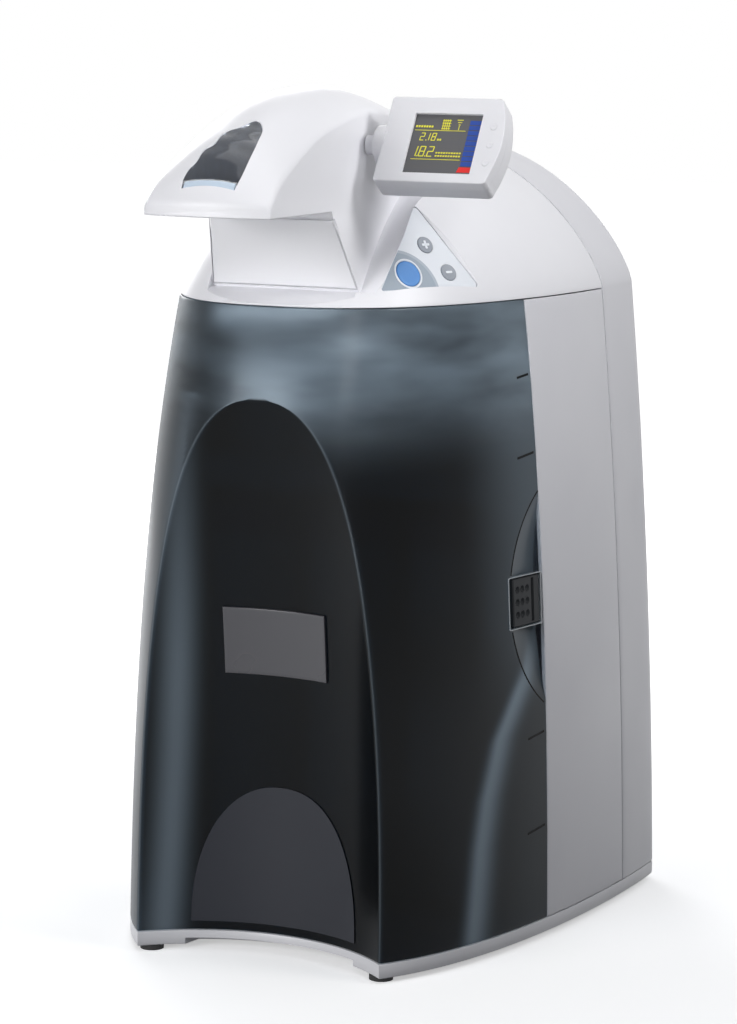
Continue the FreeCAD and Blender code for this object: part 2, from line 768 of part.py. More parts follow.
def display_outline(inset, back_low, back_high):
    """Slab with straight top, bottom and left sides and a bowed right side."""
    low = inset
    high = display_height - inset
    right = display_width - inset
    corners = [face_point(inset, low, back_low), face_point(right, low, back_low)]
    top = [face_point(right, high, back_low), face_point(inset, high, back_low)]
    bow = Part.Arc(corners[1], face_point(right + display_bulge, display_height / 2, back_low), top[0])
    edges = [Part.LineSegment(corners[0], corners[1]).toShape(), bow.toShape()]
    edges.append(Part.LineSegment(top[0], top[1]).toShape())
    edges.append(Part.LineSegment(top[1], corners[0]).toShape())
    return Part.Face(Part.Wire(edges)).extrude(face_back * (back_high - back_low))


def display_box(x0, x1, up0, up1, back0, back1):
    """Block in the display's own frame."""
    points = [face_point(x0, up0, back0), face_point(x1, up0, back0)]
    points += [face_point(x1, up1, back0), face_point(x0, up1, back0)]
    return prism(points, face_back * (back1 - back0))


def display_key_ups():
    """Heights of the three display keys."""
    return [display_key_first + display_key_pitch * i for i in range(3)]


def display_bezel():
    """Front shell with the screen opening and three key holes."""
    shell = display_outline(0, 0, display_split).cut(display_outline(display_wall, display_wall, display_split + 1))
    shell = shell.cut(display_box(lcd_left, lcd_left + lcd_width, lcd_low, lcd_low + lcd_height, -1, display_wall + 1))
    for up in display_key_ups():
        shell = shell.cut(rod(display_key_radius + key_gap, face_point(display_key_x, up, -1), face_back, 5))
    return shell


def display_back():
    """Rear shell with the hub that carries the pivot shaft."""
    shell = display_outline(0, display_split + seat / 3, display_thick)
    shell = shell.cut(display_outline(display_wall, display_split - 1, display_thick - display_wall))
    hub = rod(pivot_radius, pivot_point.sub(Vector(display_left_x - pivot_hub_x, 0, 0)), Vector(1, 0, 0),
              display_left_x - pivot_hub_x)
    shaft = rod(pivot_shaft_radius, Vector(hood_half - 14, pivot_point.y, pivot_point.z), Vector(1, 0, 0),
                pivot_hub_x - hood_half + 15)
    shell = shell.fuse(hub).fuse(shaft)
    for x in (post_inset, display_width - post_inset):
        for up in (post_inset, display_height - post_inset):
            start = face_point(x, up, display_board_back + board_thick + 0.2)
            post = rod(2.2, start, face_back, display_thick - display_wall / 2 - display_board_back - board_thick - 0.2)
            shell = shell.fuse(post)
    return shell


post_inset = 8.0
display_board_back = display_split + 1.5


def pivot_wall_x(above):
    """Outer face of the hood's leaning side at a height above the pivot."""
    return hood_half - hood_lean * (pivot_point.z + above - hood_lean_z)


pivot_hub_x = pivot_wall_x(-pivot_radius) + seat + 0.2


def pivot_collar():
    """Friction collar inside the hood that the display's shaft turns in."""
    start = Vector(pivot_wall_x(pivot_radius + 4) - cover_wall - seat - 6, pivot_point.y, pivot_point.z)
    collar = ring(pivot_shaft_radius + 5, pivot_shaft_radius + hinge_running_gap, start, Vector(1, 0, 0), 6)
    return collar


def lcd_module():
    """Liquid crystal panel that presses on the inside of the bezel."""
    edge = 2.0
    return display_box(lcd_left - edge, lcd_left + lcd_width + edge, lcd_low - edge, lcd_low + lcd_height + edge,
                       display_wall + 0.1, display_wall + 0.1 + lcd_thick)


def display_board():
    """Small circuit board behind the panel."""
    edge = display_wall + 1.5
    return display_box(edge, display_width - edge, edge + 1, display_height - edge - 1, display_board_back,
                       display_board_back + board_thick)


def display_key(up):
    """Small round key of the display with a foot behind the bezel."""
    cap = rod(display_key_radius, face_point(display_key_x, up, -0.3), face_back, display_wall + 1.5)
    foot = rod(display_key_radius + 1, face_point(display_key_x, up, display_wall + 0.15), face_back, 1.2)
    return cap.fuse(foot)


save("display_bezel", display_bezel())
save("display_back", display_back())
save("display_lcd", lcd_module())
save("display_board", display_board())
save("pivot_collar", pivot_collar())
for number, up in enumerate(display_key_ups(), 1):
    save("display_key_" + str(number), display_key(up))


# ================================================================ door
door_low_z = rim_top_z + seam
door_high_z = shoulder_z - seam
edge_slope = (plan_x(door_rear_y, latch_z) - plan_x(door_rear_y - 50, latch_z)) / 50
wall_slope = (plan_x(door_rear_y, latch_z + 40) - plan_x(door_rear_y, latch_z - 40)) / 80
wall_run = Vector(edge_slope, 1, 0).normalize()
wall_out = Vector(1, -edge_slope, -wall_slope).normalize()
wall_up = wall_out.cross(wall_run) * -1
if wall_up.z < 0:
    wall_up = wall_up * -1
door_edge = Vector(plan_x(door_rear_y, latch_z), door_rear_y, latch_z)


def pocket(grow):
    """Shallow spherical finger pocket at the latch side of the door."""
    radius = (latch_pocket_half ** 2 + latch_pocket_width ** 2) / (2 * latch_pocket_width)
    beyond = radius - latch_pocket_width
    ball = (radius ** 2 - beyond ** 2) / (2 * latch_pocket_depth)
    centre = door_edge.add(wall_run * beyond).add(wall_out * math.sqrt(ball ** 2 - radius ** 2))
    return Part.makeSphere(ball + grow, centre)


def latch_point(run, rise, out):
    """Point in the latch's frame: along the wall to the rear, up, and outwards."""
    start = door_edge.sub(wall_run * latch_edge)
    return start.add(wall_run * run).add(wall_up * rise).add(wall_out * out)


def latch_block(run0, run1, rise0, rise1, out0, out1):
    """Block in the latch's frame."""
    points = [latch_point(run0, rise0, out0), latch_point(run1, rise0, out0)]
    points += [latch_point(run1, rise1, out0), latch_point(run0, rise1, out0)]
    return prism(points, wall_out * (out1 - out0))


latch_floor = -latch_thick
foot_top = latch_floor - 2.9      # clears the inside of the dished wall
foot_thick = 2.2
foot_low = foot_top - foot_thick
latch_foot_over = 3.0         # how far the foot reaches past the opening, up and down
guide_wall = 3.0


def latch_opening():
    """Window through the door wall that the latch moves in."""
    half = latch_height / 2 + latch_gap
    return latch_block(-latch_length - latch_travel - latch_gap, latch_gap, -half, half, latch_floor - 12, 12)


def front_door():
    """Smoked front door: a shell with the arched scoop, inward flanges and the latch pocket."""
    zone = box(-far, far, -far, door_rear_y, door_low_z, door_high_z)
    slab = outer.common(zone).cut(scoop).cut(pocket(0))
    hollow = body_form(door_wall).common(box(-far, far, -far, far, door_low_z + door_wall, door_high_z - door_wall))
    hollow = hollow.cut(scoop_form(door_wall)).cut(pocket(door_wall))
    opening = body_form(door_flange).common(box(-far, far, -far, far, 0, full_z))
    opening = opening.cut(scoop_form(door_flange))
    return slab.cut(hollow).cut(opening).cut(latch_opening())


def latch_slide():
    """Sliding latch with nine grip dimples and a snap tongue."""
    half = latch_height / 2
    body = latch_block(-latch_length, 0, -half, half, latch_floor, 0)
    body = soften(body, 1.2)
    for row in (-1, 0, 1):
        for column in range(3):
            spot = latch_point(-latch_length + 7 + 8 * column, 11 * row, 2.0)
            body = body.cut(Part.makeSphere(3.6, spot))
    tongue = latch_block(-8, latch_edge + tongue_reach, -tongue_height / 2, tongue_height / 2, foot_low, foot_top)
    over = half + latch_foot_over
    foot = latch_block(-latch_length + 6, -4, -over, over, foot_low, foot_top)
    stem = latch_block(-latch_length + 6, -4, -half + 4, half - 4, foot_top - 1, latch_floor + 2)
    return body.fuse(tongue).fuse(stem).fuse(foot)


def latch_guide():
    """Channel behind the door wall that holds the latch's foot."""
    over = latch_height / 2 + latch_foot_over
    run0 = -latch_length + 6 - latch_travel - guide_spring_room
    top = latch_floor - seat
    frame = latch_block(run0 - guide_wall, guide_wall, -over - guide_wall - latch_gap, over + guide_wall + latch_gap,
                        foot_low - latch_gap - guide_wall, top)
    frame = frame.cut(latch_block(run0, 0, -over - latch_gap, over + latch_gap, foot_low - latch_gap, top + 1))
    slot = tongue_height / 2 + latch_gap
    frame = frame.cut(latch_block(-1, guide_wall + 1, -slot, slot, foot_low - latch_gap, top + 1))
    return frame.cut(pocket(door_wall + seat)).common(body_form(door_wall + seat))


def latch_spring():
    """Return spring of the latch, seated on the guide's end wall."""
    run0 = -latch_length + 6 - latch_travel - guide_spring_room
    middle = (foot_low + foot_top) / 2
    coil = Part.makeHelix(spring_pitch, guide_spring_room - 1.5, spring_radius)
    wire_start = Vector(spring_radius, 0, 0)
    profile = Part.Wire([Part.Circle(wire_start, Vector(0, 1, 0), spring_wire).toShape()])
    solid = Part.Wire(coil).makePipeShell([profile], True, True)
    turn = FreeCAD.Rotation(Vector(0, 0, 1), wall_run)
    solid.Placement = FreeCAD.Placement(latch_point(run0 + 0.8, 0, middle), turn)
    return solid


def latch_keeper():
    """Slotted block inside the right side panel that takes the tongue."""
    slot = tongue_height / 2 + latch_gap
    start = latch_edge + seam + 0.5
    block = latch_block(start, start + keeper_length, -slot - 5, slot + 5, foot_low - latch_gap - 3, 0)
    block = block.common(body_form(cover_wall + seat))
    return block.cut(latch_block(start - 1, latch_edge + tongue_reach + 2, -slot, slot, foot_low - latch_gap,
                                 foot_top + latch_gap))


save("front_door", front_door())
save("latch_slide", latch_slide())
save("latch_guide", latch_guide())
save("latch_spring", latch_spring())
save("latch_keeper", latch_keeper())

hinge_x = -(plan_x(door_rear_y, hinge_low_z) + hinge_barrel_radius + 0.6)
hinge_y = door_rear_y + seam / 2
leaf_zone = box(-far, -shoulder_half / 2, hinge_y - hinge_leaf - 3, hinge_y + hinge_leaf + 3, hinge_low_z - 5,
                hinge_high_z + hinge_length + 5)
leaf_seat = body_form(-leaf_gap).common(leaf_zone)
leaf_skin = body_form(-hinge_leaf_thick - leaf_gap).common(leaf_zone).cut(leaf_seat)


def hinge_part(low_z, low_share, high_share, y0, y1, bore):
    """Barrel from one share of the hinge to another, with a leaf that lies on the outer surface."""
    z0 = low_z + hinge_length * low_share
    z1 = low_z + hinge_length * high_share
    leaf = leaf_skin.common(box(-far, 0, y0, y1, z0, z1))
    barrel = rod(hinge_barrel_radius, Vector(hinge_x, hinge_y, z0), Vector(0, 0, 1), z1 - z0)
    reach = plan_x(hinge_y, (z0 + z1) / 2)
    side = -1 if y0 < hinge_y else 1
    near, away = sorted((hinge_y + side * web_near, hinge_y + side * web_far))
    web = box(hinge_x, -reach, near, away, z0, z1).cut(leaf_seat)
    solid = leaf.fuse(barrel).fuse(web)
    return solid.cut(rod(bore, Vector(hinge_x, hinge_y, z0 - 1), Vector(0, 0, 1), z1 - z0 + 2))


def door_leaves():
    """Middle knuckle of each hinge, fixed to the door."""
    bore = hinge_pin_radius + hinge_running_gap
    solids = []
    for low in (hinge_low_z, hinge_high_z):
        solids.append(hinge_part(low, 0.3, 0.7, door_rear_y - hinge_leaf, door_rear_y, bore))
    return Part.makeCompound(solids)


def body_leaves():
    """Upper and lower knuckles of each hinge, fixed to the left side panel."""
    bore = hinge_pin_radius + 0.02
    start = door_rear_y + seam
    solids = []
    for low in (hinge_low_z, hinge_high_z):
        solids.append(hinge_part(low, 0.0, 0.28, start, start + hinge_leaf, bore))
        solids.append(hinge_part(low, 0.72, 1.0, start, start + hinge_leaf, bore))
    return Part.makeCompound(solids)


def hinge_pins():
    """Headed pins through the knuckles."""
    solids = []
    for low in (hinge_low_z, hinge_high_z):
        pin = rod(hinge_pin_radius, Vector(hinge_x, hinge_y, low - 1), Vector(0, 0, 1), hinge_length + 2)
        head = rod(hinge_pin_radius + 1.2, Vector(hinge_x, hinge_y, low + hinge_length + 0.2), Vector(0, 0, 1), 1.6)
        solids.append(pin.fuse(head))
    return Part.makeCompound(solids)


save("door_hinge_leaves", door_leaves())
save("body_hinge_leaves", body_leaves())
save("hinge_pins", hinge_pins())


def name_plate():
    """Raised plate that follows the concave scoop."""
    skin = scoop_form(-0.1).cut(scoop_form(-0.1 - plate_thick))
    half = plate_width / 2
    zone = box(plate_shift - half, plate_shift + half, -far, 0, plate_z - plate_height / 2, plate_z + plate_height / 2)
    plate = skin.common(zone)
    return largest_rear(plate)


def arch_plate():
    """Thin arched plate at the foot of the scoop."""
    skin = scoop_form(-0.1).cut(scoop_form(-0.1 - arch_plate_thick))
    rise = arch_plate_high_z - arch_plate_low_z
    points = []
    for step in range(17):
        angle = math.pi * step / 16
        across = math.copysign(abs(math.cos(angle)) ** (2 / arch_plate_power), math.cos(angle))
        lift = max(0.0, math.sin(angle)) ** (2 / arch_plate_power)
        points.append(Vector(plate_shift + arch_plate_half * across, -far, arch_plate_low_z + rise * lift))
    arch = Part.BSplineCurve()
    arch.interpolate(points)
    sill = Part.LineSegment(points[-1], points[0]).toShape()
    prism_arch = Part.Face(Part.Wire([arch.toShape(), sill])).extrude(Vector(0, far, 0))
    return largest_rear(skin.common(prism_arch))


def largest_rear(shape):
    """The one solid of a cut that lies furthest back."""
    solids = sorted(shape.Solids, key=lambda solid: solid.CenterOfMass.y)
    return solids[-1]


save("name_plate", name_plate())
save("arch_plate", arch_plate())


# ================================================================ chassis
tray_floor_z = base_bottom_z + floor_thick
bulkhead_rear_y = bulkhead_y + bulkhead_thick
deck_low_z = deck_top_z - deck_thick
tube_hole_radius = 7.0


def bulkhead():
    """Folded steel wall across the tray, with a foot flange and holes for the tubes."""
    top = deck_low_z - seat
    wall = box(-bulkhead_half, bulkhead_half, bulkhead_y, bulkhead_rear_y, tray_floor_z + seat, top)
    foot = box(-bulkhead_half, bulkhead_half, bulkhead_y, bulkhead_y + bulkhead_flange, tray_floor_z + seat,
               tray_floor_z + seat + bulkhead_thick)
    plate = wall.fuse(foot)
    for x in tube_hole_xs:
        plate = plate.cut(rod(tube_hole_radius, Vector(x, bulkhead_y - 1, manifold_z + manifold_height + 14),
                              Vector(0, 1, 0), 4))
    return plate


def deck():
    """Steel deck that follows the inside of the covers, with a tongue under the final filter."""
    plate = body_form(cover_wall + seat).common(
        box(-far, far, door_rear_y + lip_clear, rear_y - cover_wall - seat, deck_low_z, deck_top_z))
    tongue = box(-deck_tongue_half, deck_tongue_half, deck_tongue_front_y, door_rear_y + lip_clear + 1, deck_low_z,
                 deck_top_z)
    lip = box(-deck_tongue_half, deck_tongue_half, deck_tongue_front_y, deck_tongue_front_y + deck_thick,
              deck_low_z - deck_lip, deck_top_z)
    return plate.fuse(tongue).fuse(lip)


def rear_posts():
    """Spacers from the bulkhead to the rear cover."""
    start = bulkhead_rear_y + 0.1
    length = rear_y - cover_wall - 0.1 - start
    solids = []
    for x, z in post_spots():
        post = rod(post_radius, Vector(x, start, z), Vector(0, 1, 0), length)
        hole = rod(screw_radius, Vector(x, start + length - 12, z), Vector(0, 1, 0), 13)
        solids.append(post.cut(hole))
    return Part.makeCompound(solids)


def cover_screws():
    """Pan head screws through the rear cover into the spacers."""
    solids = []
    for x, z in post_spots():
        shank = rod(screw_radius - 0.02, Vector(x, rear_y - cover_wall - 9, z), Vector(0, 1, 0), cover_wall + 8.6)
        head = rod(screw_head_radius, Vector(x, rear_y - screw_head - 0.1, z), Vector(0, 1, 0), screw_head)
        slot = box(x - 0.5, x + 0.5, rear_y - 1.1, rear_y + 1, z - 3, z + 3)
        cross = box(x - 3, x + 3, rear_y - 1.1, rear_y + 1, z - 0.5, z + 0.5)
        solids.append(shank.fuse(head).cut(slot).cut(cross))
    return Part.makeCompound(solids)


manifold_z = cartridge_top_z + cap_height + cap_neck_height + seat
tube_hole_xs = (-cartridge_pitch, 0.0, cartridge_pitch)
cartridge_xs = (-cartridge_pitch, 0.0, cartridge_pitch)

save("bulkhead", bulkhead())
save("deck", deck())
save("rear_posts", rear_posts())
save("cover_screws", cover_screws())


# ================================================================ cartridges and manifold
def cartridge_cradle():
    """Moulded cradle on the tray with a round seat for each cartridge."""
    half = cartridge_pitch + cartridge_radius + 5
    block = box(-half, half, cartridge_y - cartridge_radius - 5, bulkhead_y - seat, tray_floor_z + seat, cradle_top_z)
    block = soften(block, 6, Vector(0, 0, 1))
    for x in cartridge_xs:
        start = Vector(x, cartridge_y, cradle_top_z - cradle_recess)
        block = block.cut(rod(cartridge_radius + seat, start, Vector(0, 0, 1), cradle_recess + 1))
    return block


def cartridges():
    """Three resin cartridges."""
    low = cradle_top_z - cradle_recess + seat
    solids = []
    for x in cartridge_xs:
        can = rod(cartridge_radius, Vector(x, cartridge_y, low), Vector(0, 0, 1), cartridge_top_z - low)
        solids.append(can.makeFillet(4, [can.Edges[0], can.Edges[2]]))
    return Part.makeCompound(solids)


def cartridge_caps():
    """Caps with a neck that plugs in the manifold."""
    solids = []
    for x in cartridge_xs:
        start = Vector(x, cartridge_y, cartridge_top_z + 0.1)
        cap = rod(cartridge_radius + 1.5, start, Vector(0, 0, 1), cap_height - 0.1)
        cap = cap.makeFillet(5, [cap.Edges[0]])
        neck = rod(cap_neck_radius, Vector(x, cartridge_y, cartridge_top_z + cap_height - 1), Vector(0, 0, 1),
                   cap_neck_height + 1)
        solids.append(cap.fuse(neck))
    return Part.makeCompound(solids)


def manifold():
    """White manifold block above the cartridges, with tube ports on top."""
    half = cartridge_pitch + cartridge_radius
    block = box(-half, half, cartridge_y - 26, bulkhead_y - seat, manifold_z, manifold_z + manifold_height)
    block = soften(block, 5, Vector(0, 0, 1))
    for x in cartridge_xs:
        port = rod(port_radius, Vector(x, port_y, manifold_z + manifold_height - 1), Vector(0, 0, 1), port_height + 1)
        bore = rod(tube_radius + 0.1, Vector(x, port_y, manifold_z + manifold_height), Vector(0, 0, 1), 20)
        block = block.fuse(port).cut(bore)
    return block


port_radius = 6.0
port_height = 6.0
port_y = bulkhead_y - 22

save("cartridge_cradle", cartridge_cradle())
save("cartridges", cartridges())
save("cartridge_caps", cartridge_caps())
save("manifold", manifold())


# ================================================================ parts behind the bulkhead
def uv_housing():
    """Polished tube of the ultraviolet reactor with two side ports."""
    tube = ring(uv_radius, uv_radius - 2, Vector(uv_x, uv_y, uv_low_z), Vector(0, 0, 1), uv_high_z - uv_low_z)
    for z in (uv_low_z + 24, uv_high_z - 24):
        start = Vector(uv_x + uv_radius - 3, uv_y, z)
        port = rod(6, start, Vector(1, 0, 0), 15)
        tube = tube.fuse(port.cut(rod(uv_radius - 1, Vector(uv_x, uv_y, z - 10), Vector(0, 0, 1), 20)))
        tube = tube.cut(rod(tube_radius + 0.1, start.sub(Vector(4, 0, 0)), Vector(1, 0, 0), 24))
    return tube


def uv_caps():
    """End caps that hold the lamp in the tube."""
    solids = []
    for z, direction in ((uv_low_z - 0.1, -1), (uv_high_z + 0.1, 1)):
        cap = rod(uv_radius + 3, Vector(uv_x, uv_y, z), Vector(0, 0, direction), 12)
        bore = rod(uv_lamp_radius + 0.1, Vector(uv_x, uv_y, z), Vector(0, 0, direction), 7)
        solids.append(cap.cut(bore))
    return Part.makeCompound(solids)


def uv_lamp():
    """Ultraviolet lamp on the tube's axis."""
    return rod(uv_lamp_radius, Vector(uv_x, uv_y, uv_low_z - 6.5), Vector(0, 0, 1), uv_high_z - uv_low_z + 13)


def uv_clips():
    """Blocks that hold the tube on the bulkhead."""
    solids = []
    for z in (uv_low_z + 50, uv_high_z - 70):
        clip = box(uv_x - 12, uv_x + 18, bulkhead_rear_y + 0.1, uv_y, z, z + 16)
        solids.append(clip.cut(rod(uv_radius + 0.1, Vector(uv_x, uv_y, z - 1), Vector(0, 0, 1), 18)))
    return Part.makeCompound(solids)


motor_end_x = motor_x + motor_length
head_length = 30.0
head_half = 26.0
blade_count = 6


def pump_motor():
    """Motor can on a saddle that stands on the tray."""
    can = rod(motor_radius, Vector(motor_x, motor_y, motor_z), Vector(1, 0, 0), motor_length)
    saddle = box(motor_x + 8, motor_end_x - 8, motor_y - 24, motor_y + 24, tray_floor_z + seat, motor_z)
    body = can.fuse(saddle)
    bore = rod(motor_shaft_radius + hinge_running_gap, Vector(motor_end_x - 20, motor_y, motor_z), Vector(1, 0, 0), 30)
    return body.cut(bore)


def pump_head():
    """Square pump head with a round chamber."""
    x0 = motor_end_x + 0.1
    block = box(x0, x0 + head_length, motor_y - head_half, motor_y + head_half, motor_z - head_half,
                motor_z + head_half)
    chamber = rod(rotor_radius + 1, Vector(x0 + 5, motor_y, motor_z), Vector(1, 0, 0), head_length - 10)
    shaft = rod(motor_shaft_radius + 0.5, Vector(x0 - 1, motor_y, motor_z), Vector(1, 0, 0), 10)
    outlet = rod(tube_radius + 0.1, Vector(x0 + head_length / 2, motor_y, motor_z + head_half - 4), Vector(0, 0, 1), 5)
    return block.cut(chamber).cut(shaft).cut(outlet)


def pump_rotor():
    """Impeller on the motor's shaft."""
    x0 = motor_end_x + 6.6
    axis = Vector(1, 0, 0)
    shaft = rod(motor_shaft_radius, Vector(motor_end_x - 18, motor_y, motor_z), axis, 18 + 8)
    disc = rod(rotor_radius, Vector(x0, motor_y, motor_z), axis, 3)
    hub = rod(7, Vector(x0, motor_y, motor_z), axis, 14)
    solid = shaft.fuse(disc).fuse(hub)
    blade = box(x0 + 2, x0 + 12, motor_y - 1, motor_y + 1, motor_z + 5, motor_z + rotor_radius - 0.3)
    for number in range(blade_count):
        turned = blade.copy()
        turned.rotate(Vector(x0, motor_y, motor_z), axis, 360 / blade_count * number)
        solid = solid.fuse(turned)
    return solid


supply_side_gap = 59.5        # middle of the power supply to the base's side
supply_x = base_half - supply_side_gap
supply_y = 122.0


def power_supply():
    """Closed power supply on the tray."""
    case = box(supply_x - supply_width / 2, supply_x + supply_width / 2, supply_y, supply_y + supply_depth,
               tray_floor_z + seat, tray_floor_z + seat + supply_height)
    return soften(case, 1.5)


board_low_z = 332.0


def control_board():
    """Main circuit board behind the bulkhead."""
    y0 = bulkhead_rear_y + standoff
    plate = box(-board_width / 2 + 14, board_width / 2 + 14, y0, y0 + board_thick, board_low_z,
                board_low_z + board_height)
    chips = box(-20, 14, y0 + board_thick - 0.2, y0 + board_thick + 3, board_low_z + 50, board_low_z + 84)
    header = box(30, 66, y0 + board_thick - 0.2, y0 + board_thick + 9, board_low_z + 8, board_low_z + 18)
    return plate.fuse(chips).fuse(header)


def board_standoffs():
    """Spacers between board and bulkhead."""
    solids = []
    for x in (-board_width / 2 + 20, board_width / 2 + 8):
        for z in (board_low_z + 6, board_low_z + board_height - 6):
            solids.append(rod(3, Vector(x, bulkhead_rear_y + 0.1, z), Vector(0, 1, 0), standoff - 0.2))
    return Part.makeCompound(solids)


valve_xs = (-60.0, -20.0)
valve_z = 232.0


def solenoid_valves():
    """Two solenoid valves fixed behind the bulkhead."""
    solids = []
    for x in valve_xs:
        body = box(x - 14, x + 14, bulkhead_rear_y + 0.1, bulkhead_rear_y + 28, valve_z, valve_z + 24)
        coil = rod(13, Vector(x, bulkhead_rear_y + 14, valve_z + 23), Vector(0, 0, 1), 30)
        solids.append(body.fuse(coil))
    return Part.makeCompound(solids)


cell_xs = (30.0, 66.0)
cell_z = 240.0


def conductivity_cells():
    """Two measuring cells fixed behind the bulkhead."""
    solids = []
    for x in cell_xs:
        body = soften(box(x - 11, x + 11, bulkhead_rear_y + 0.1, bulkhead_rear_y + 22, cell_z, cell_z + 44), 2)
        probe = rod(5, Vector(x, bulkhead_rear_y + 11, cell_z + 43), Vector(0, 0, 1), 14)
        solids.append(body.fuse(probe))
    return Part.makeCompound(solids)


save("uv_housing", uv_housing())
save("uv_end_caps", uv_caps())
save("uv_lamp", uv_lamp())
save("uv_clips", uv_clips())
save("pump_motor", pump_motor())
save("pump_head", pump_head())
save("pump_rotor", pump_rotor())
save("power_supply", power_supply())
save("control_board", control_board())
save("board_standoffs", board_standoffs())
save("solenoid_valves", solenoid_valves())
save("conductivity_cells", conductivity_cells())


# ================================================================ connector bay at the rear
bay_floor_y = rear_y - bay_depth
spigot_xs = (-58.0, -34.0, -10.0)
socket_x = 44.0
socket_z = 84.0
socket_width = 27.0
socket_height = 19.6
socket_cavity_width = 24.0
socket_cavity_height = 16.0
socket_depth = 15.0
rocker_x = 44.0
rocker_z = 56.0
rocker_width = 17.0
rocker_height = 11.0
rocker_turn = 9.0             # the switch rests this far to one side of the middle
rocker_axle = 1.6


def connector_bay():
    """Recessed tub in the rear cover that carries the connectors."""
    tub = box(-bay_half, bay_half, bay_floor_y - bay_wall, rear_y - 0.2, bay_low_z, bay_high_z)
    tub = tub.cut(box(-bay_half + bay_wall, bay_half - bay_wall, bay_floor_y, rear_y + 1, bay_low_z + bay_wall,
                      bay_high_z - bay_wall))
    for x in spigot_xs:
        tub = tub.cut(rod(spigot_radius + 0.1, Vector(x, bay_floor_y - 4, spigot_z), Vector(0, 1, 0), 8))
    half = socket_width / 2 + 0.1
    tub = tub.cut(box(socket_x - half, socket_x + half, bay_floor_y - 4, bay_floor_y + 1,
                      socket_z - socket_height / 2 - 0.1, socket_z + socket_height / 2 + 0.1))
    half = rocker_width / 2 + 2.1
    return tub.cut(box(rocker_x - half, rocker_x + half, bay_floor_y - 4, bay_floor_y + 1,
                       rocker_z - rocker_height / 2 - 2.1, rocker_z + rocker_height / 2 + 2.1))


def spigots():
    """Three barbed hose spigots through the bay's floor."""
    solids = []
    axis = Vector(0, 1, 0)
    for x in spigot_xs:
        start = Vector(x, bay_floor_y - 14, spigot_z)
        solid = rod(spigot_radius, start, axis, 14 + spigot_length)
        solid = solid.fuse(rod(spigot_radius + 3, Vector(x, bay_floor_y + 0.1, spigot_z), axis, 2))
        solid = solid.fuse(rod(spigot_radius + 3, Vector(x, bay_floor_y - bay_wall - 4.1, spigot_z), axis, 4))
        solids.append(solid.cut(rod(3.0, start.sub(axis), axis, 40)))
    return Part.makeCompound(solids)


def inlet_socket():
    """Power inlet with three flat pins in a recess."""
    half_w = socket_width / 2
    half_h = socket_height / 2
    body = box(socket_x - half_w, socket_x + half_w, bay_floor_y - socket_depth - 3, bay_floor_y + 1, socket_z - half_h,
               socket_z + half_h)
    flange = box(socket_x - half_w - 2, socket_x + half_w + 2, bay_floor_y + 0.1, bay_floor_y + 2.6,
                 socket_z - half_h - 2, socket_z + half_h + 2)
    cavity = box(socket_x - socket_cavity_width / 2, socket_x + socket_cavity_width / 2,
                 bay_floor_y + 2.6 - socket_depth, bay_floor_y + 4, socket_z - socket_cavity_height / 2,
                 socket_z + socket_cavity_height / 2)
    solid = body.fuse(flange).cut(cavity)
    for x, z in ((-7, -2), (0, 2), (7, -2)):
        solid = solid.fuse(box(socket_x + x - 1, socket_x + x + 1, bay_floor_y - socket_depth, bay_floor_y - 5,
                               socket_z + z - 2, socket_z + z + 2))
    return solid


def rocker_frame():
    """Frame of the power switch."""
    half_w = rocker_width / 2
    half_h = rocker_height / 2
    body = box(rocker_x - half_w - 2, rocker_x + half_w + 2, bay_floor_y - 14, bay_floor_y + 1, rocker_z - half_h - 2,
               rocker_z + half_h + 2)
    flange = box(rocker_x - half_w - 3.5, rocker_x + half_w + 3.5, bay_floor_y + 0.1, bay_floor_y + 2,
                 rocker_z - half_h - 3.5, rocker_z + half_h + 3.5)
    hole = box(rocker_x - half_w - 0.5, rocker_x + half_w + 0.5, bay_floor_y - 12, bay_floor_y + 4,
               rocker_z - half_h - 0.5, rocker_z + half_h + 0.5)
    bore = rod(rocker_axle + hinge_running_gap, Vector(rocker_x - half_w - 1.8, bay_floor_y - 3.0, rocker_z),
               Vector(1, 0, 0), rocker_width + 3.6)
    return body.fuse(flange).cut(hole).cut(bore)


def power_rocker():
    """Rocker with two shallow faces, on trunnions across the frame."""
    half_w = rocker_width / 2
    half_h = rocker_height / 2
    low = bay_floor_y - 4.0
    crest = bay_floor_y + 4.0
    valley = bay_floor_y + 2.4
    x0 = rocker_x - half_w
    points = [Vector(x0, low, rocker_z - 3), Vector(x0, crest, rocker_z - half_h + 0.6),
              Vector(x0, valley, rocker_z), Vector(x0, crest, rocker_z + half_h - 0.6), Vector(x0, low, rocker_z + 3)]
    body = prism(points, Vector(rocker_width, 0, 0))
    axle = rod(rocker_axle, Vector(x0 - 1.6, bay_floor_y - 3.0, rocker_z), Vector(1, 0, 0), rocker_width + 3.2)
    solid = body.fuse(axle)
    solid.rotate(Vector(x0, bay_floor_y - 3.0, rocker_z), Vector(1, 0, 0), rocker_turn)
    return solid


save("connector_bay", connector_bay())
save("spigots", spigots())
save("inlet_socket", inlet_socket())
save("rocker_frame", rocker_frame())
save("power_rocker", power_rocker())


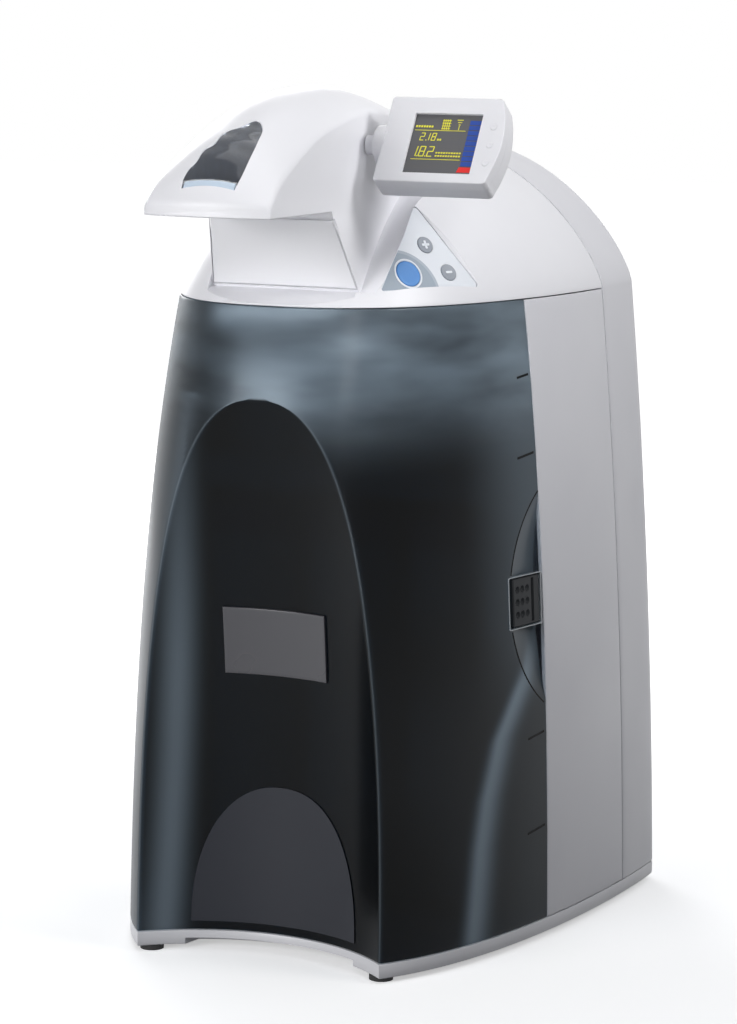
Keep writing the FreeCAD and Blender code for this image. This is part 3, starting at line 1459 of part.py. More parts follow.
# ================================================================ tubes
def tubes():
    """Water tubes between manifold, ultraviolet reactor, pump and final filter."""
    tube_z = manifold_z + manifold_height
    turn_z = tube_z + 14
    solids = []
    left, middle, right = cartridge_xs
    behind = bulkhead_rear_y + 26
    solids.append(pipe([Vector(left, port_y, tube_z + 0.2), Vector(left, port_y, turn_z),
                        Vector(left, behind, turn_z)], 10.0, tube_radius))
    pump_x = motor_end_x + 0.1 + head_length / 2
    rise_z = motor_z + 134
    rise_y = motor_y + 55
    solids.append(pipe([Vector(pump_x, motor_y, motor_z + head_half - 3.8), Vector(pump_x, motor_y, rise_z),
                        Vector(pump_x, rise_y, rise_z), Vector(pump_x, rise_y, rise_z + 120)], 12.0, tube_radius))
    solids.append(pipe([Vector(middle, port_y, tube_z + 0.2), Vector(middle, port_y, turn_z + 40),
                        Vector(middle, final_filter_y, turn_z + 40), Vector(middle, final_filter_y, deck_low_z - 0.2)],
                       12.0, tube_radius))
    return Part.makeCompound(solids)


save("tubes", tubes())
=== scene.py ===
import json
import math
import bpy
import bmesh
import numpy as np
from mathutils import Matrix, Vector


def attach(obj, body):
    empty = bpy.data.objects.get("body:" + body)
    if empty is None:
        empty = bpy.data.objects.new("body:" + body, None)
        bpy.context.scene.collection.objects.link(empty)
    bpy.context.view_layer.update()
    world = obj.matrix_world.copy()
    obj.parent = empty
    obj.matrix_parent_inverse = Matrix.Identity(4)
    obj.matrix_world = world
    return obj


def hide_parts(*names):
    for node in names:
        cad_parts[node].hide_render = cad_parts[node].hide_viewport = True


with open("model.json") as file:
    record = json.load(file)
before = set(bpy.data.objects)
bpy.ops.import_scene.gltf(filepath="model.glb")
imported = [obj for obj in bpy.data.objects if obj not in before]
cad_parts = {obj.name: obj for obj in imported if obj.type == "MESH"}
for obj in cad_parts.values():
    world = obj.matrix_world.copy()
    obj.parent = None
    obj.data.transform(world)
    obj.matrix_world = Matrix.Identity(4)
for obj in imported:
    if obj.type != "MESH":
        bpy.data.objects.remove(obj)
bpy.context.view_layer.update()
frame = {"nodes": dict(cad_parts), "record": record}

# ---- View ----
# A long lens from the front right, a little above, aimed at the middle of the unit.
view_turn = math.radians(22.595)
view_drop = math.radians(8.683)
view_roll = math.radians(0.825)
view_distance = 2.47124
view_shift = 0.011347
view_target = Vector((view_shift * math.cos(view_turn), view_shift * math.sin(view_turn) + 0.0375, 0.31934))
view_back = Vector((math.sin(view_turn) * math.cos(view_drop), -math.cos(view_turn) * math.cos(view_drop),
                    math.sin(view_drop)))
view_right = Vector((math.cos(view_turn), math.sin(view_turn), 0))
view_up = view_back.cross(view_right)
rolled_right = view_right * math.cos(view_roll) + view_up * math.sin(view_roll)
rolled_up = view_up * math.cos(view_roll) - view_right * math.sin(view_roll)


def stand(name, data):
    """New object of a mesh, lamp or camera in the scene."""
    made = bpy.data.objects.new(name, data)
    bpy.context.scene.collection.objects.link(made)
    return made


camera_data = bpy.data.cameras.new("view")
camera_data.sensor_width = 36.0
camera_data.lens = 111.63
camera_data.clip_end = 50
camera = stand("view", camera_data)
camera_turn = Matrix((rolled_right, rolled_up, view_back)).transposed().to_4x4()
camera.matrix_world = Matrix.Translation(view_target + view_back * view_distance) @ camera_turn
bpy.context.scene.camera = camera
bpy.context.scene.view_settings.view_transform = "Standard"


# ---- Floor, room and lamps ----
# A seamless white sweep under six soft boxes.  Camera, glossy and clear rays see it white; as light it stays dim, so
# the pale covers render a little under white.
def linear(code):
    """sRGB hex to linear RGBA, by the standard two-part curve."""
    parts = np.array([int(code[i:i + 2], 16) for i in (1, 3, 5)]) / 255
    parts = np.where(parts <= 0.04045, parts / 12.92, ((parts + 0.055) / 1.055) ** 2.4)
    return (*parts.tolist(), 1.0)


def add(tree, kind, sockets=None, **settings):
    """Add one shader node; a socket takes a constant, an output, or a node whose first output is meant."""
    made = tree.nodes.new("ShaderNode" + kind)
    for key, value in settings.items():
        setattr(made, key, value)
    for key, value in (sockets or {}).items():
        value = value.outputs[0] if isinstance(value, bpy.types.Node) else value
        if isinstance(value, bpy.types.NodeSocket):
            tree.links.new(value, made.inputs[key])
        else:
            made.inputs[key].default_value = value
    return made


def blank(name):
    """Empty node material, its tree and the object's own coordinates in it."""
    material = bpy.data.materials.new(name)
    material.use_nodes = True
    tree = material.node_tree
    tree.nodes.clear()
    return material, tree, add(tree, "TexCoord").outputs["Object"]


def finished(material, skin):
    """Material with a shader node linked as its surface."""
    add(material.node_tree, "OutputMaterial", {"Surface": skin})
    return material


def backdrop(tree, as_light, as_seen):
    """Mix of two shader nodes: the second where a camera, glossy or transmission ray looks, else the first."""
    path = add(tree, "LightPath").outputs
    share = path["Is Camera Ray"]
    for ray in ("Is Glossy Ray", "Is Transmission Ray"):
        share = add(tree, "Math", {0: share, 1: path[ray]}, operation="MAXIMUM")
    return add(tree, "MixShader", {0: share, 1: as_light, 2: as_seen})


def soft_box(name, place, aim, width, height, power, spread=180):
    """Rectangular lamp at a place, turned to its aim, its beam narrowed to a spread in degrees."""
    data = bpy.data.lights.new(name, "AREA")
    data.shape = "RECTANGLE"
    data.size = width
    data.size_y = height
    data.energy = power
    data.spread = math.radians(spread)
    turn = (Vector(aim) - Vector(place)).to_track_quat("-Z", "Y").to_matrix().to_4x4()
    stand(name, data).matrix_world = Matrix.Translation(place) @ turn


world = bpy.data.worlds.new("white room")
bpy.context.scene.world = world
world.use_nodes = True
tree = world.node_tree
tree.nodes.clear()
room_light = add(tree, "Background", {"Color": linear("#f4f6fa"), "Strength": 0.165})
room_seen = add(tree, "Background", {"Color": (1, 1, 1, 1), "Strength": 1.0})
add(tree, "OutputWorld", {"Surface": backdrop(tree, room_light, room_seen)})
soft_box("key", (-1.0, -2.3, 0.8), (0, 0, 0.5), 1.2, 0.9, 37)
soft_box("right front", (1.69, -1.69, 1.48), (0, 0, 0.85), 0.6, 0.6, 0.6, 40)
soft_box("top", (0.1, 0.2, 2.6), (0, 0, 0.3), 1.8, 1.8, 12)
soft_box("shoulder light", (1.25, -0.05, 1.35), (0.15, 0.0, 0.85), 0.5, 0.5, 2.3, 75)
soft_box("low fill", (0.9, -1.2, 0.35), (0.04, -0.1, 0.53), 0.4, 0.3, 0.1, 22)
soft_box("rear", (-1.5, 2.0, 1.1), (0, 0.1, 0.35), 1.4, 1.2, 30)

floor_mesh = bpy.data.meshes.new("floor")
floor_mesh.from_pydata([(-12, -12, 0), (12, -12, 0), (12, 12, 0), (-12, 12, 0)], [], [(0, 1, 2, 3)])
sweep, tree, place = blank("white sweep")
floor_reach = add(tree, "VectorMath", {0: place}, operation="LENGTH").outputs["Value"]
floor_rise = add(tree, "MapRange", {0: floor_reach, 1: 0.25, 2: 1.1, 3: 0.45, 4: 0.97},
                 interpolation_type="SMOOTHSTEP")
floor_paint = add(tree, "BsdfDiffuse", {"Color": linear("#f2f3f5")})
floor_bounce = add(tree, "BsdfDiffuse", {"Color": linear("#55565a")})
floor_glow = add(tree, "Emission", {"Color": (1, 1, 1, 1), "Strength": floor_rise})
floor_seen = add(tree, "AddShader", {0: floor_paint, 1: floor_glow})
floor_mesh.materials.append(finished(sweep, backdrop(tree, floor_bounce, floor_seen)))
floor = stand("floor", floor_mesh)


# ---- Base tray ----
# Pale injection-moulded ABS tray.  Its rim follows the covers above it and runs in two horns round the scoop; a low
# relief under the middle of the front leaves a shadow gap.
base_low = 4.0
rim_top = 15.0
shoulder = 492.0
rear = 237.5
wide_y = 232.5
rear_round = rear - wide_y
scoop_top = 426.0
base_half, shoulder_half, belly = 189.5, 158.2, 4.7
side_power_base, side_power_shoulder = 2.906, 2.52
nose_power_base, nose_power_shoulder = 1.692, 2.059
nose_base, nose_back = -175.0, 49.5


def outline_values(z, inset=0.0):
    """Half width, the two curve powers and the nose of the body's plan at height z (arrays)."""
    t = np.clip((z - base_low) / (shoulder - base_low), 0, 1)
    u = np.clip((z - rim_top) / (shoulder - rim_top), 0, 1)
    half = base_half + (shoulder_half - base_half) * t + 4 * belly * t * (1 - t)
    side_power = side_power_base + (side_power_shoulder - side_power_base) * t
    nose_power = nose_power_base + (nose_power_shoulder - nose_power_base) * t
    return half - inset, side_power, nose_power, nose_base + nose_back * u ** 3.2 + inset


def side_x(y, z, inset=0.0):
    """Half width of the body at (y, z): a superellipse, half (1 - share^nose power)^(1/side power)."""
    half, side_power, nose_power, nose = outline_values(z, inset)
    share = np.clip((wide_y - y) / (wide_y - nose), 0, 1)
    return half * np.clip(1 - share ** nose_power, 0, 1) ** (1 / side_power)


def front_line(x, z, inset=0.0):
    """Front of the body at (x, z), the same superellipse solved for y."""
    half, side_power, nose_power, nose = outline_values(z, inset)
    across = np.clip(np.abs(x) / half, 0, 1)
    return wide_y - (wide_y - nose) * (1 - across ** side_power) ** (1 / nose_power)


def scoop_line(x, z, grow=0.0):
    """Scoop surface at (x, z): a circular arc in plan whose depth fades towards the arch's top."""
    v = np.clip((z - rim_top) / (scoop_top - rim_top), 0, 1.06)
    middle = -137.6 + 6.3 * v - 13.1 * v * v + 38.7 * (1 - v ** 2.3)
    radius = 145.0 + 65.0 * v ** 6
    return middle - radius + np.sqrt((radius + grow) ** 2 - x ** 2)


def ridge_x(z, grow=0.0):
    """Half width where scoop and front meet, found by halving the interval forty times."""
    low = np.zeros_like(z)
    high = np.full_like(z, 116.0)
    for _ in range(40):
        middle = (low + high) / 2
        inside = scoop_line(middle, z, grow) > front_line(middle, z, grow)
        low = np.where(inside, middle, low)
        high = np.where(inside, high, middle)
    return np.maximum(low, 5.0)


def coords(*parts):
    """Coordinates side by side on a last axis, single numbers repeated as needed."""
    return np.stack(np.broadcast_arrays(*parts), -1)


def circle(turn):
    """Points (cos, sin) of the unit circle at angles."""
    return coords(np.cos(turn), np.sin(turn))


def quarter(steps):
    """Angles of a quarter turn."""
    return np.radians(np.linspace(0, 90, steps))


def grid_faces(rows, columns, wrap=False, start=0):
    """Quads of a rows by columns grid of vertices, the columns closed in a ring if asked."""
    r = np.arange(rows - 1)[:, None]
    c = np.arange(columns if wrap else columns - 1)[None, :]
    nxt = (c + 1) % columns
    quads = np.stack([r * columns + c, r * columns + nxt, (r + 1) * columns + nxt, (r + 1) * columns + c], -1)
    return (quads.reshape(-1, 4) + start).tolist()


def stacked(rings):
    """Closed solid from a stack of equal rings, both ends capped."""
    points = np.stack(rings)
    rows, columns = points.shape[:2]
    caps = [list(range(columns)), list(range((rows - 1) * columns, rows * columns))]
    return points, grid_faces(rows, columns, True) + caps


def joined(solids):
    """Points and faces of several solids in one mesh."""
    points = []
    faces = []
    for spots, sides in solids:
        faces += [[i + len(points) for i in side] for side in sides]
        points += spots.reshape(-1, 3).tolist()
    return points, faces


def cleaned(mesh, merge, least, sharp):
    """Mesh with its doubles merged, faces under a least size dissolved if one is given, normals outwards and sharp
    edges marked by angle."""
    made = bmesh.new()
    made.from_mesh(mesh)
    bmesh.ops.remove_doubles(made, verts=made.verts, dist=merge)
    if least:
        bmesh.ops.dissolve_degenerate(made, edges=made.edges, dist=least)
    bmesh.ops.recalc_face_normals(made, faces=made.faces)
    made.to_mesh(mesh)
    made.free()
    mesh.shade_smooth()
    mesh.set_sharp_from_angle(angle=math.radians(sharp))
    return mesh


def drawn(name, points, faces, sharp=32.0, least=0.0):
    """Mesh from millimetre points."""
    mesh = bpy.data.meshes.new(name)
    mesh.from_pydata((np.asarray(points, float).reshape(-1, 3) * 0.001).tolist(), [], faces)
    return cleaned(mesh, 2e-6, least, sharp)


def piece(name, points, faces, material, body, slot, replaced=(), sharp=32.0):
    """Mesh object with its look, the body it rides on and the nodes it replaces; the slot argument is not used."""
    mesh = drawn(name, points, faces, sharp, 1e-7)
    mesh.materials.append(material)
    made = stand(name, mesh)
    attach(made, body)
    if replaced:
        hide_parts(*replaced)
    return made


def noise(tree, place, scale, detail):
    """Noise texture node on given coordinates."""
    return add(tree, "TexNoise", {"Vector": place, "Scale": scale, "Detail": detail})


def two_tone(tree, pale, deep, share):
    """Colour between two sRGB tones by a node's first output."""
    return add(tree, "Mix", {0: share, 6: linear(pale), 7: linear(deep)}, data_type="RGBA").outputs[2]


def moulded(name, pale, deep, gloss, grain_mm, depth_mm, coat=0.0, patch_mm=90.0, index=1.49):
    """Injection-moulded plastic: slow tone changes, a fine spark-eroded grain and small gloss changes."""
    material, tree, place = blank(name)
    slow = noise(tree, place, 1000 / patch_mm, 3.0)
    fine = noise(tree, place, 1000 / grain_mm, 2.0)
    shine = add(tree, "MapRange", {0: slow, 3: gloss - 0.1, 4: gloss + 0.1})
    bump = add(tree, "Bump", {"Strength": 0.6, "Distance": depth_mm / 1000, "Height": fine})
    return finished(material, add(tree, "BsdfPrincipled", {
        "Base Color": two_tone(tree, pale, deep, slow), "Roughness": shine, "Normal": bump, "IOR": index,
        "Coat Weight": coat, "Coat Roughness": 0.08}))


white_abs = moulded("moulded ABS, satin white", "#e6e6ea", "#e0e0e5", 0.36, 0.9, 0.02)
grey_abs = moulded("moulded ABS, satin pale grey", "#d9d9de", "#d2d2d8", 0.38, 0.9, 0.02)


def plan_angle(y, nose_power, nose):
    """The superellipse's own angle at y."""
    return np.arcsin(np.clip((wide_y - y) / (wide_y - nose), 0, 1) ** (nose_power / 2))


def plan_point(angle, half, side_power, nose_power, nose):
    """Point (x, y) of the superellipse at its own angle."""
    return half * np.cos(angle) ** (2 / side_power), wide_y - (wide_y - nose) * np.sin(angle) ** (2 / nose_power)


def flank(z, near_y, steps, inset=0.0):
    """Plan points from near_y forward to the ridge, evenly spaced in the superellipse's own angle."""
    values = [value[:, None] for value in outline_values(z, inset)]
    first = plan_angle(near_y, *values[2:])
    last = plan_angle(front_line(ridge_x(z, inset), z, inset)[:, None], *values[2:])
    return plan_point(first + (last - first) * steps, *values)


tray_rows = np.array([(4.0, 2.2), (4.0, 1.2), (4.4, 0.4), (5.2, 0.0), (9.0, 0.0), (9.01, 0.0), (14.2, 0.0),
                      (14.8, 0.3), (15.0, 1.0), (15.0, 2.2)])


def tray_ring(z, inset):
    """Closed plan ring of the tray: rear, right flank, scoop, left flank."""
    height = np.array([max(z, rim_top)])
    x, y = flank(height, wide_y, np.linspace(0, 1, 60), inset)
    ridge = ridge_x(height, inset)[0]
    across = np.linspace(ridge, -ridge, 61)[1:-1]
    front = scoop_line(across, height, inset)
    relief = np.where((np.abs(across) < 68.5) & (z < 9.005), 14.0, 0.0)
    right = (x[0, 0] - rear_round, wide_y - inset) + rear_round * circle(quarter(7))[::-1]
    right = np.concatenate([right, coords(x[0], y[0])])
    ring = np.concatenate([right, coords(across, front + relief), (right * (-1, 1))[::-1]])
    return coords(*ring.T, z)


piece("base_tray_rim", *stacked([tray_ring(z, inset) for z, inset in tray_rows]), white_abs, "chassis",
      "cover_white", ["base_tray"])


# ---- Side panels ----
# Two pale grey ABS shells, 3 mm thick, between door and rear cover, with a small rolled edge at each joint line.
def border_steps(length, count, radius):
    """Positions along a length with extra lines in the rounded borders, and each one's distance to its border."""
    near = radius * np.array([0, 0.08, 0.3, 0.62, 1.0])
    inner = np.linspace(radius, length - radius, count)[1:-1]
    at = np.concatenate([near, inner, length - near[::-1]])
    return at, np.minimum(at, length - at)


def unit(vector):
    """Vector at length 1."""
    return vector / np.linalg.norm(vector)


def normals(points):
    """Unit normals of a grid from its own differences."""
    across = np.cross(np.gradient(points, axis=0), np.gradient(points, axis=1))
    return across / np.maximum(np.linalg.norm(across, axis=2, keepdims=True), 1e-9)


def closed_panel(outer, inner):
    """Points and faces of a plate between two equal grids, with its four sides closed."""
    rows, columns = outer.shape[:2]
    points = np.concatenate([outer.reshape(-1, 3), inner.reshape(-1, 3)])
    faces = grid_faces(rows, columns) + grid_faces(rows, columns, start=rows * columns)
    index = np.arange(rows * columns).reshape(rows, columns)
    border = np.concatenate([index[0, :], index[1:, -1], index[-1, -2::-1], index[-2:0:-1, 0]])
    nxt = np.roll(border, -1)
    shift = rows * columns
    faces += np.stack([border, nxt, nxt + shift, border + shift], -1).tolist()
    return points, faces


def rounding(away, radius):
    """Drop of a quarter-round edge at a distance from the border: radius - sqrt(radius^2 - (radius - away)^2)."""
    return radius - np.sqrt(np.maximum(0, radius ** 2 - np.maximum(0, radius - away) ** 2))


def rolled(points, away_u, away_v, radius, thick, outward):
    """Panel from a surface grid: borders drop along the normal on a quarter circle, the back is offset."""
    normal = normals(points)
    if np.sum(normal.reshape(-1, 3).mean(0) * outward) < 0:
        normal = -normal
    drop = rounding(np.minimum(away_u[:, None], away_v[None, :])[..., None], radius)
    return closed_panel(points - normal * drop, points - normal * thick)


joint_line = 0.8
edge_round = 0.7
shell = 3.0
door_rear = 34.0
rear_joint = 164.5
panel_y, panel_y_away = border_steps(rear_joint - door_rear - 2 * joint_line, 34, edge_round)
panel_z, panel_z_away = border_steps(shoulder - rim_top - 2 * joint_line, 90, edge_round)
panel_y = panel_y + door_rear + joint_line
panel_z = panel_z + rim_top + joint_line
for side, name in ((-1, "side_panel_left"), (1, "side_panel_right")):
    height, run = np.meshgrid(panel_z, panel_y, indexing="ij")
    face = coords(side * side_x(run, height), run, height)
    points, faces = rolled(face, panel_z_away, panel_y_away, edge_round, shell, (side, 0, 0))
    piece(name + "_shell", points, faces, grey_abs, "chassis", "cover_white", [name])


# ---- Rear cover ----
# One pale ABS shell that closes the back and carries the rear arch of the dome; the connector bay and four screw
# seats are cut in its flat back.
dome_rise = 112.0
dome_power = 1.35
arch_half = 158.0


def shoulder_x(y):
    """Half width of the dome at y on the shoulder's level."""
    share = (wide_y - y) / (wide_y - nose_base - nose_back)
    return shoulder_half * (1 - share ** nose_power_shoulder) ** (1 / side_power_shoulder)


def mirrored(half, sign=-1):
    """One coordinate of half an outline and of its mirror image, the middle point once."""
    return np.concatenate([half, half[-2::-1] * sign])


def cut(target, points, faces, mode="DIFFERENCE"):
    """Exact boolean of a millimetre mesh on a piece, applied, and the cutter removed."""
    mesh = drawn("cutter", points, faces)
    cutter = stand("cutter", mesh)
    change = target.modifiers.new("cut", "BOOLEAN")
    change.operation = mode
    change.solver = "EXACT"
    change.object = cutter
    result = bpy.data.meshes.new_from_object(target.evaluated_get(bpy.context.evaluated_depsgraph_get()))
    target.modifiers.remove(change)
    old = target.data
    target.data = result
    bpy.data.meshes.remove(old)
    bpy.data.objects.remove(cutter)
    bpy.data.meshes.remove(mesh)


def resharpen(target, sharp=32.0):
    """Merge what the cuts left and mark the sharp edges again."""
    cleaned(target.data, 5e-6, 1e-6, sharp)


def placed(ring, lift, place):
    """Points of a (u, v) ring in a local frame (origin, across, up, out), lifted along out."""
    origin, across, up, out = (np.asarray(part) for part in place)
    return origin + ring[:, :1] * across + ring[:, 1:] * up + out * lift


def extrusion(ring, low, high, place):
    """Straight-sided solid: a ring of (u, v) pairs carried from low to high along the local frame's out."""
    ring = np.asarray(ring, float)
    return stacked([placed(ring, low, place), placed(ring, high, place)])


def bored(target, place, centre, radius, low, high, steps=40):
    """Round hole in a piece about a (u, v) centre."""
    cut(target, *extrusion(disc_ring(radius, steps) + centre, low, high, place))


def round_ring(width, height, radius, steps=6):
    """Rounded rectangle about the origin, as (u, v) pairs."""
    corner = circle(quarter(steps)) * radius + (width / 2 - radius, height / 2 - radius)
    return np.concatenate([corner, corner[::-1] * (-1, 1), -corner, corner[::-1] * (1, -1)])


def disc_ring(radius, steps):
    """Circle as (u, v) pairs."""
    return circle(np.linspace(0, 2 * math.pi, steps, endpoint=False)) * radius


body_z = np.linspace(rim_top + joint_line, shoulder, 60)
arch_turn = np.linspace(0, math.pi / 2, 60)[1:]
arch_x = shoulder_half * np.cos(arch_turn)
full_x = mirrored(np.concatenate([side_x(wide_y, body_z), arch_x]))
full_z = mirrored(np.concatenate([body_z, shoulder + dome_rise * np.sin(arch_turn) ** (2 / dome_power)]), 1)
stations = []
for run in (0, 0.1, 0.35, 0.7, 8, 20, 35, 50, 62):
    y = rear_joint + joint_line + run
    drop = rounding(run, edge_round)
    half = np.concatenate([side_x(y, body_z), arch_x * (shoulder_x(y) / shoulder_half)])
    stations.append(coords(mirrored(half) * (1 - drop / arch_half), y, full_z - drop * (full_z > shoulder)))
for turn in quarter(7)[1:]:
    drop = rear_round * (1 - math.cos(turn))
    arch = np.where(full_z > shoulder, shoulder + (full_z - shoulder) * (1 - drop / dome_rise), full_z)
    stations.append(coords(full_x * ((arch_half - drop) / arch_half), wide_y + rear_round * math.sin(turn), arch))
stations += [stations[-1] * (share, 1, 1) for share in (0.98, 0.9, 0.7, 0.45, 0.2, 0.0)]
outer = np.stack(stations)
inner = outer * ((shoulder_half - shell) / shoulder_half, 1, 1)
inner[..., 1] = np.minimum(inner[..., 1], rear - shell)
inner[..., 2] = np.where(inner[..., 2] > shoulder,
                         shoulder + (inner[..., 2] - shoulder) * ((dome_rise - shell) / dome_rise), inner[..., 2])
points, faces = closed_panel(outer, inner)
faces = [face for face in faces if np.abs(points[face, 0]).max() > 0.01]
rear_shell = piece("rear_cover_shell", points, faces, grey_abs, "chassis", "cover_white", ["rear_cover"])
back_frame = ((0, rear, 0), (1, 0, 0), (0, 0, 1), (0, 1, 0))
bay_wide, bay_tall, bay_middle, bay_round = 156.6, 72.6, (0, 76), 3
cut(rear_shell, *extrusion(round_ring(bay_wide, bay_tall, bay_round) + bay_middle, -32.5, 27.5, back_frame))
for screw_seat in ((-88, 60), (-88, 420), (88, 60), (88, 420)):
    bored(rear_shell, back_frame, screw_seat, 4.3, -2.6, 9)
resharpen(rear_shell)


# ---- Top cover ----
# The white dome with its neck and dispensing hood, one ABS moulding.  The hood's crown runs back and sinks in the
# dome; the key pad lies in a three-cornered recess on the right shoulder.
head_y = np.array([-237.5, -223, -204.5, -175.5, -147.5, -117.5, -86.5, -56.5, -16.5, 37.5, 97.5, 125, 150])
head_edge = np.array([569.1, 580.1, 590.3, 603.0, 614.3, 622.0, 627.8, 631.0, 629.8, 620.1, 608.4, 597, 584])
head_crown = np.array([572.0, 592.5, 609.7, 623.8, 634.8, 643.3, 647.7, 649.0, 645.8, 635.2, 623.0, 609, 596])
hood_lean, hood_edge_round, hood_half, hood_under = 0.051, 3.0, 48.5, 561.0
neck_top_y, neck_top_z = -125.5, 557.0
neck_foot_y, neck_foot_z = -97.5, 502.5
head_front = -237.5
head_floor = 496.0
under_round = 1.2


def smooth_curve(known, values, at):
    """Natural cubic spline through (known, values), read at the given places."""
    step = np.diff(known)
    count = len(known)
    matrix = np.eye(count)
    right = np.zeros(count)
    for i in range(1, count - 1):
        matrix[i, i - 1:i + 2] = step[i - 1], 2 * (step[i - 1] + step[i]), step[i]
        right[i] = 6 * ((values[i + 1] - values[i]) / step[i] - (values[i] - values[i - 1]) / step[i - 1])
    bend = np.linalg.solve(matrix, right)
    k = np.clip(np.searchsorted(known, at) - 1, 0, count - 2)
    a = (known[k + 1] - at) / step[k]
    b = 1 - a
    return a * values[k] + b * values[k + 1] + ((a ** 3 - a) * bend[k] + (b ** 3 - b) * bend[k + 1]) * step[k] ** 2 / 6


def hood_side(z):
    """Half width of the hood and neck at height z: the hood's walls lean in, the neck's cheeks spread below it."""
    spread = np.clip(hood_under - z, 0, 80) / (hood_under - neck_foot_z) * 10.2
    return hood_half + spread - hood_lean * np.clip(z - 566.0, 0, 100)


def hood_top(x, y):
    """Top of the hood at (x, y): a crown between the two edge lines, rounded down at the sides."""
    edge = smooth_curve(head_y, head_edge, y)
    crown = smooth_curve(head_y, head_crown, y)
    half = hood_side(edge)
    across = np.clip(np.abs(x) / half, 0, 1)
    over = np.clip(np.abs(x) - (half - hood_edge_round), 0, hood_edge_round)
    fall = hood_edge_round - np.sqrt(hood_edge_round ** 2 - over ** 2)
    return edge + (crown - edge) * (1 - across ** 2) - fall


def head_section(y, bottom, inset):
    """Right half of the head's cross-section at y, from the middle of its underside to its crown."""
    out = float(hood_side(bottom))
    under = coords(np.linspace(0, out - under_round, 10), bottom)
    turn = np.radians([22, 45, 68])
    corner = (out - under_round, bottom + under_round) + under_round * coords(np.sin(turn), -np.cos(turn))
    edge = float(smooth_curve(head_y, head_edge, y))
    half_top = float(hood_side(edge))
    top = edge - hood_edge_round
    change = max(hood_under, bottom + 1.3)
    wall = np.concatenate([np.linspace(bottom + under_round, change, 8), np.linspace(change, top, 12)[1:]])
    side = coords(hood_side(wall), wall)
    side[-1, 0] = half_top
    across = np.concatenate([half_top - hood_edge_round * (1 - np.cos(quarter(9)[1:])),
                             np.linspace(half_top - hood_edge_round, 0, 22)[1:]])
    half = np.concatenate([under, corner, side, coords(across, hood_top(across, y))])
    middle = np.array([0, (bottom + top) / 2])
    return middle + (half - middle) * (1 - inset / np.array([hood_half, max(4.0, (top - bottom) / 2)]))


lip_inset = 1.3
head_runs = [(head_front, hood_under, lip_inset, share) for share in (0.03, 0.25, 0.5, 0.75, 0.92)]
head_runs += [(head_front + run, hood_under, inset, 1.0)
              for run, inset in ((0.0, lip_inset), (0.25, 0.55), (0.8, 0.12), (1.6, 0.0))]
head_runs += [(y, hood_under, 0.0, 1.0) for y in np.linspace(-234, neck_top_y, 44)]
head_runs += [(neck_top_y, neck_top_z, 0.0, 1.0)]
head_runs += [(y, neck_top_z - (y - neck_top_y) / (neck_foot_y - neck_top_y) * (neck_top_z - neck_foot_z), 0.0, 1.0)
              for y in np.linspace(neck_top_y, neck_foot_y, 12)[1:]]
head_runs += [(neck_foot_y + 0.2, head_floor, 0.0, 1.0)]
head_runs += [(y, head_floor, 0.0, 1.0) for y in np.linspace(-92, head_y[-1], 70)]
head_rings = []
for y, bottom, inset, share in head_runs:
    half = head_section(y, bottom, inset)
    lip_middle = np.array([0, half[:, 1].min() / 2 + half[:, 1].max() / 2])
    half = lip_middle + (half - lip_middle) * share
    ring = np.concatenate([half, (half * (-1, 1))[-2:0:-1]])
    bow = 6.0 * (ring[:, 0] / hood_half) ** 2 * np.clip(1 - (y - head_front) / 60, 0, 1)
    head_rings.append(coords(ring[:, 0], y + bow, ring[:, 1]))

cover_rear = rear_joint - joint_line
dome_levels = dome_rise * np.sin(np.linspace(0.06, math.pi / 2, 44)) ** (2 / dome_power)
dome_levels = np.concatenate([[0, 0.15, 0.5], dome_levels]) + shoulder
dome_levels[-1] -= 0.05
dome_rows = []
for z in dome_levels:
    rise = min((z - shoulder) / dome_rise, 0.9995)
    tuck = 0.5 if z < shoulder + 0.1 else 0
    half = shoulder_half * math.sqrt(1 - rise ** dome_power) - (0.12 if shoulder + 0.1 < z < shoulder + 0.4 else tuck)
    nose = nose_base + nose_back + 0.55 * (z - shoulder) + tuck
    first = plan_angle(cover_rear, nose_power_shoulder, nose)
    angle = first + (math.pi / 2 - first) * np.linspace(0, 1, 60)
    x, y = plan_point(angle, half, side_power_shoulder, nose_power_shoulder, nose)
    x[-1] = 0
    dome_rows.append(coords(mirrored(x), mirrored(y, 1), z))
top_cover = piece("top_cover_shell", *stacked(dome_rows), white_abs, "chassis", "cover_white", ["top_cover"])
ledge = [(neck_foot_y, neck_foot_z), (-126.0, 492.9), (-190.0, 492.9), (-190.0, 600), (neck_top_y, 600),
         (neck_foot_y - 2, 530)]
cut(top_cover, *extrusion(ledge, -58.7, 58.7, ((0, 0, 0), (0, 1, 0), (0, 0, 1), (1, 0, 0))))

pad_low_left = np.array([72.8, -92.8, 503.1])
pad_low_right = np.array([119.4, -13.0, 503.7])
pad_apex = np.array([71.6, -25.2, 562.5])
pad_u = unit(pad_low_right - pad_low_left)
pad_out = unit(np.cross(pad_low_right - pad_low_left, pad_apex - pad_low_left))
pad_frame = (pad_low_left, pad_u, np.cross(pad_out, pad_u), pad_out)
pad_flat = np.array([[0.0, 0.0], [92.3, 0.0], [58.2, 68.7]])
draft_ways = np.array([(0, 0), (1 / 0.896, 0), (0.704, 0.831)])
valley_z = np.array([502.5, 515, 530, 546, 557.5, 566, 575, 585, 600])
valley_neck = np.array([-94.0, -78.5, -58.5, -34, -14, 2, 19, 38, 66])
valley_pad = np.array([-95.3, -81.1, -64, -45.8, -32.7, -16, 19, 60, 110])


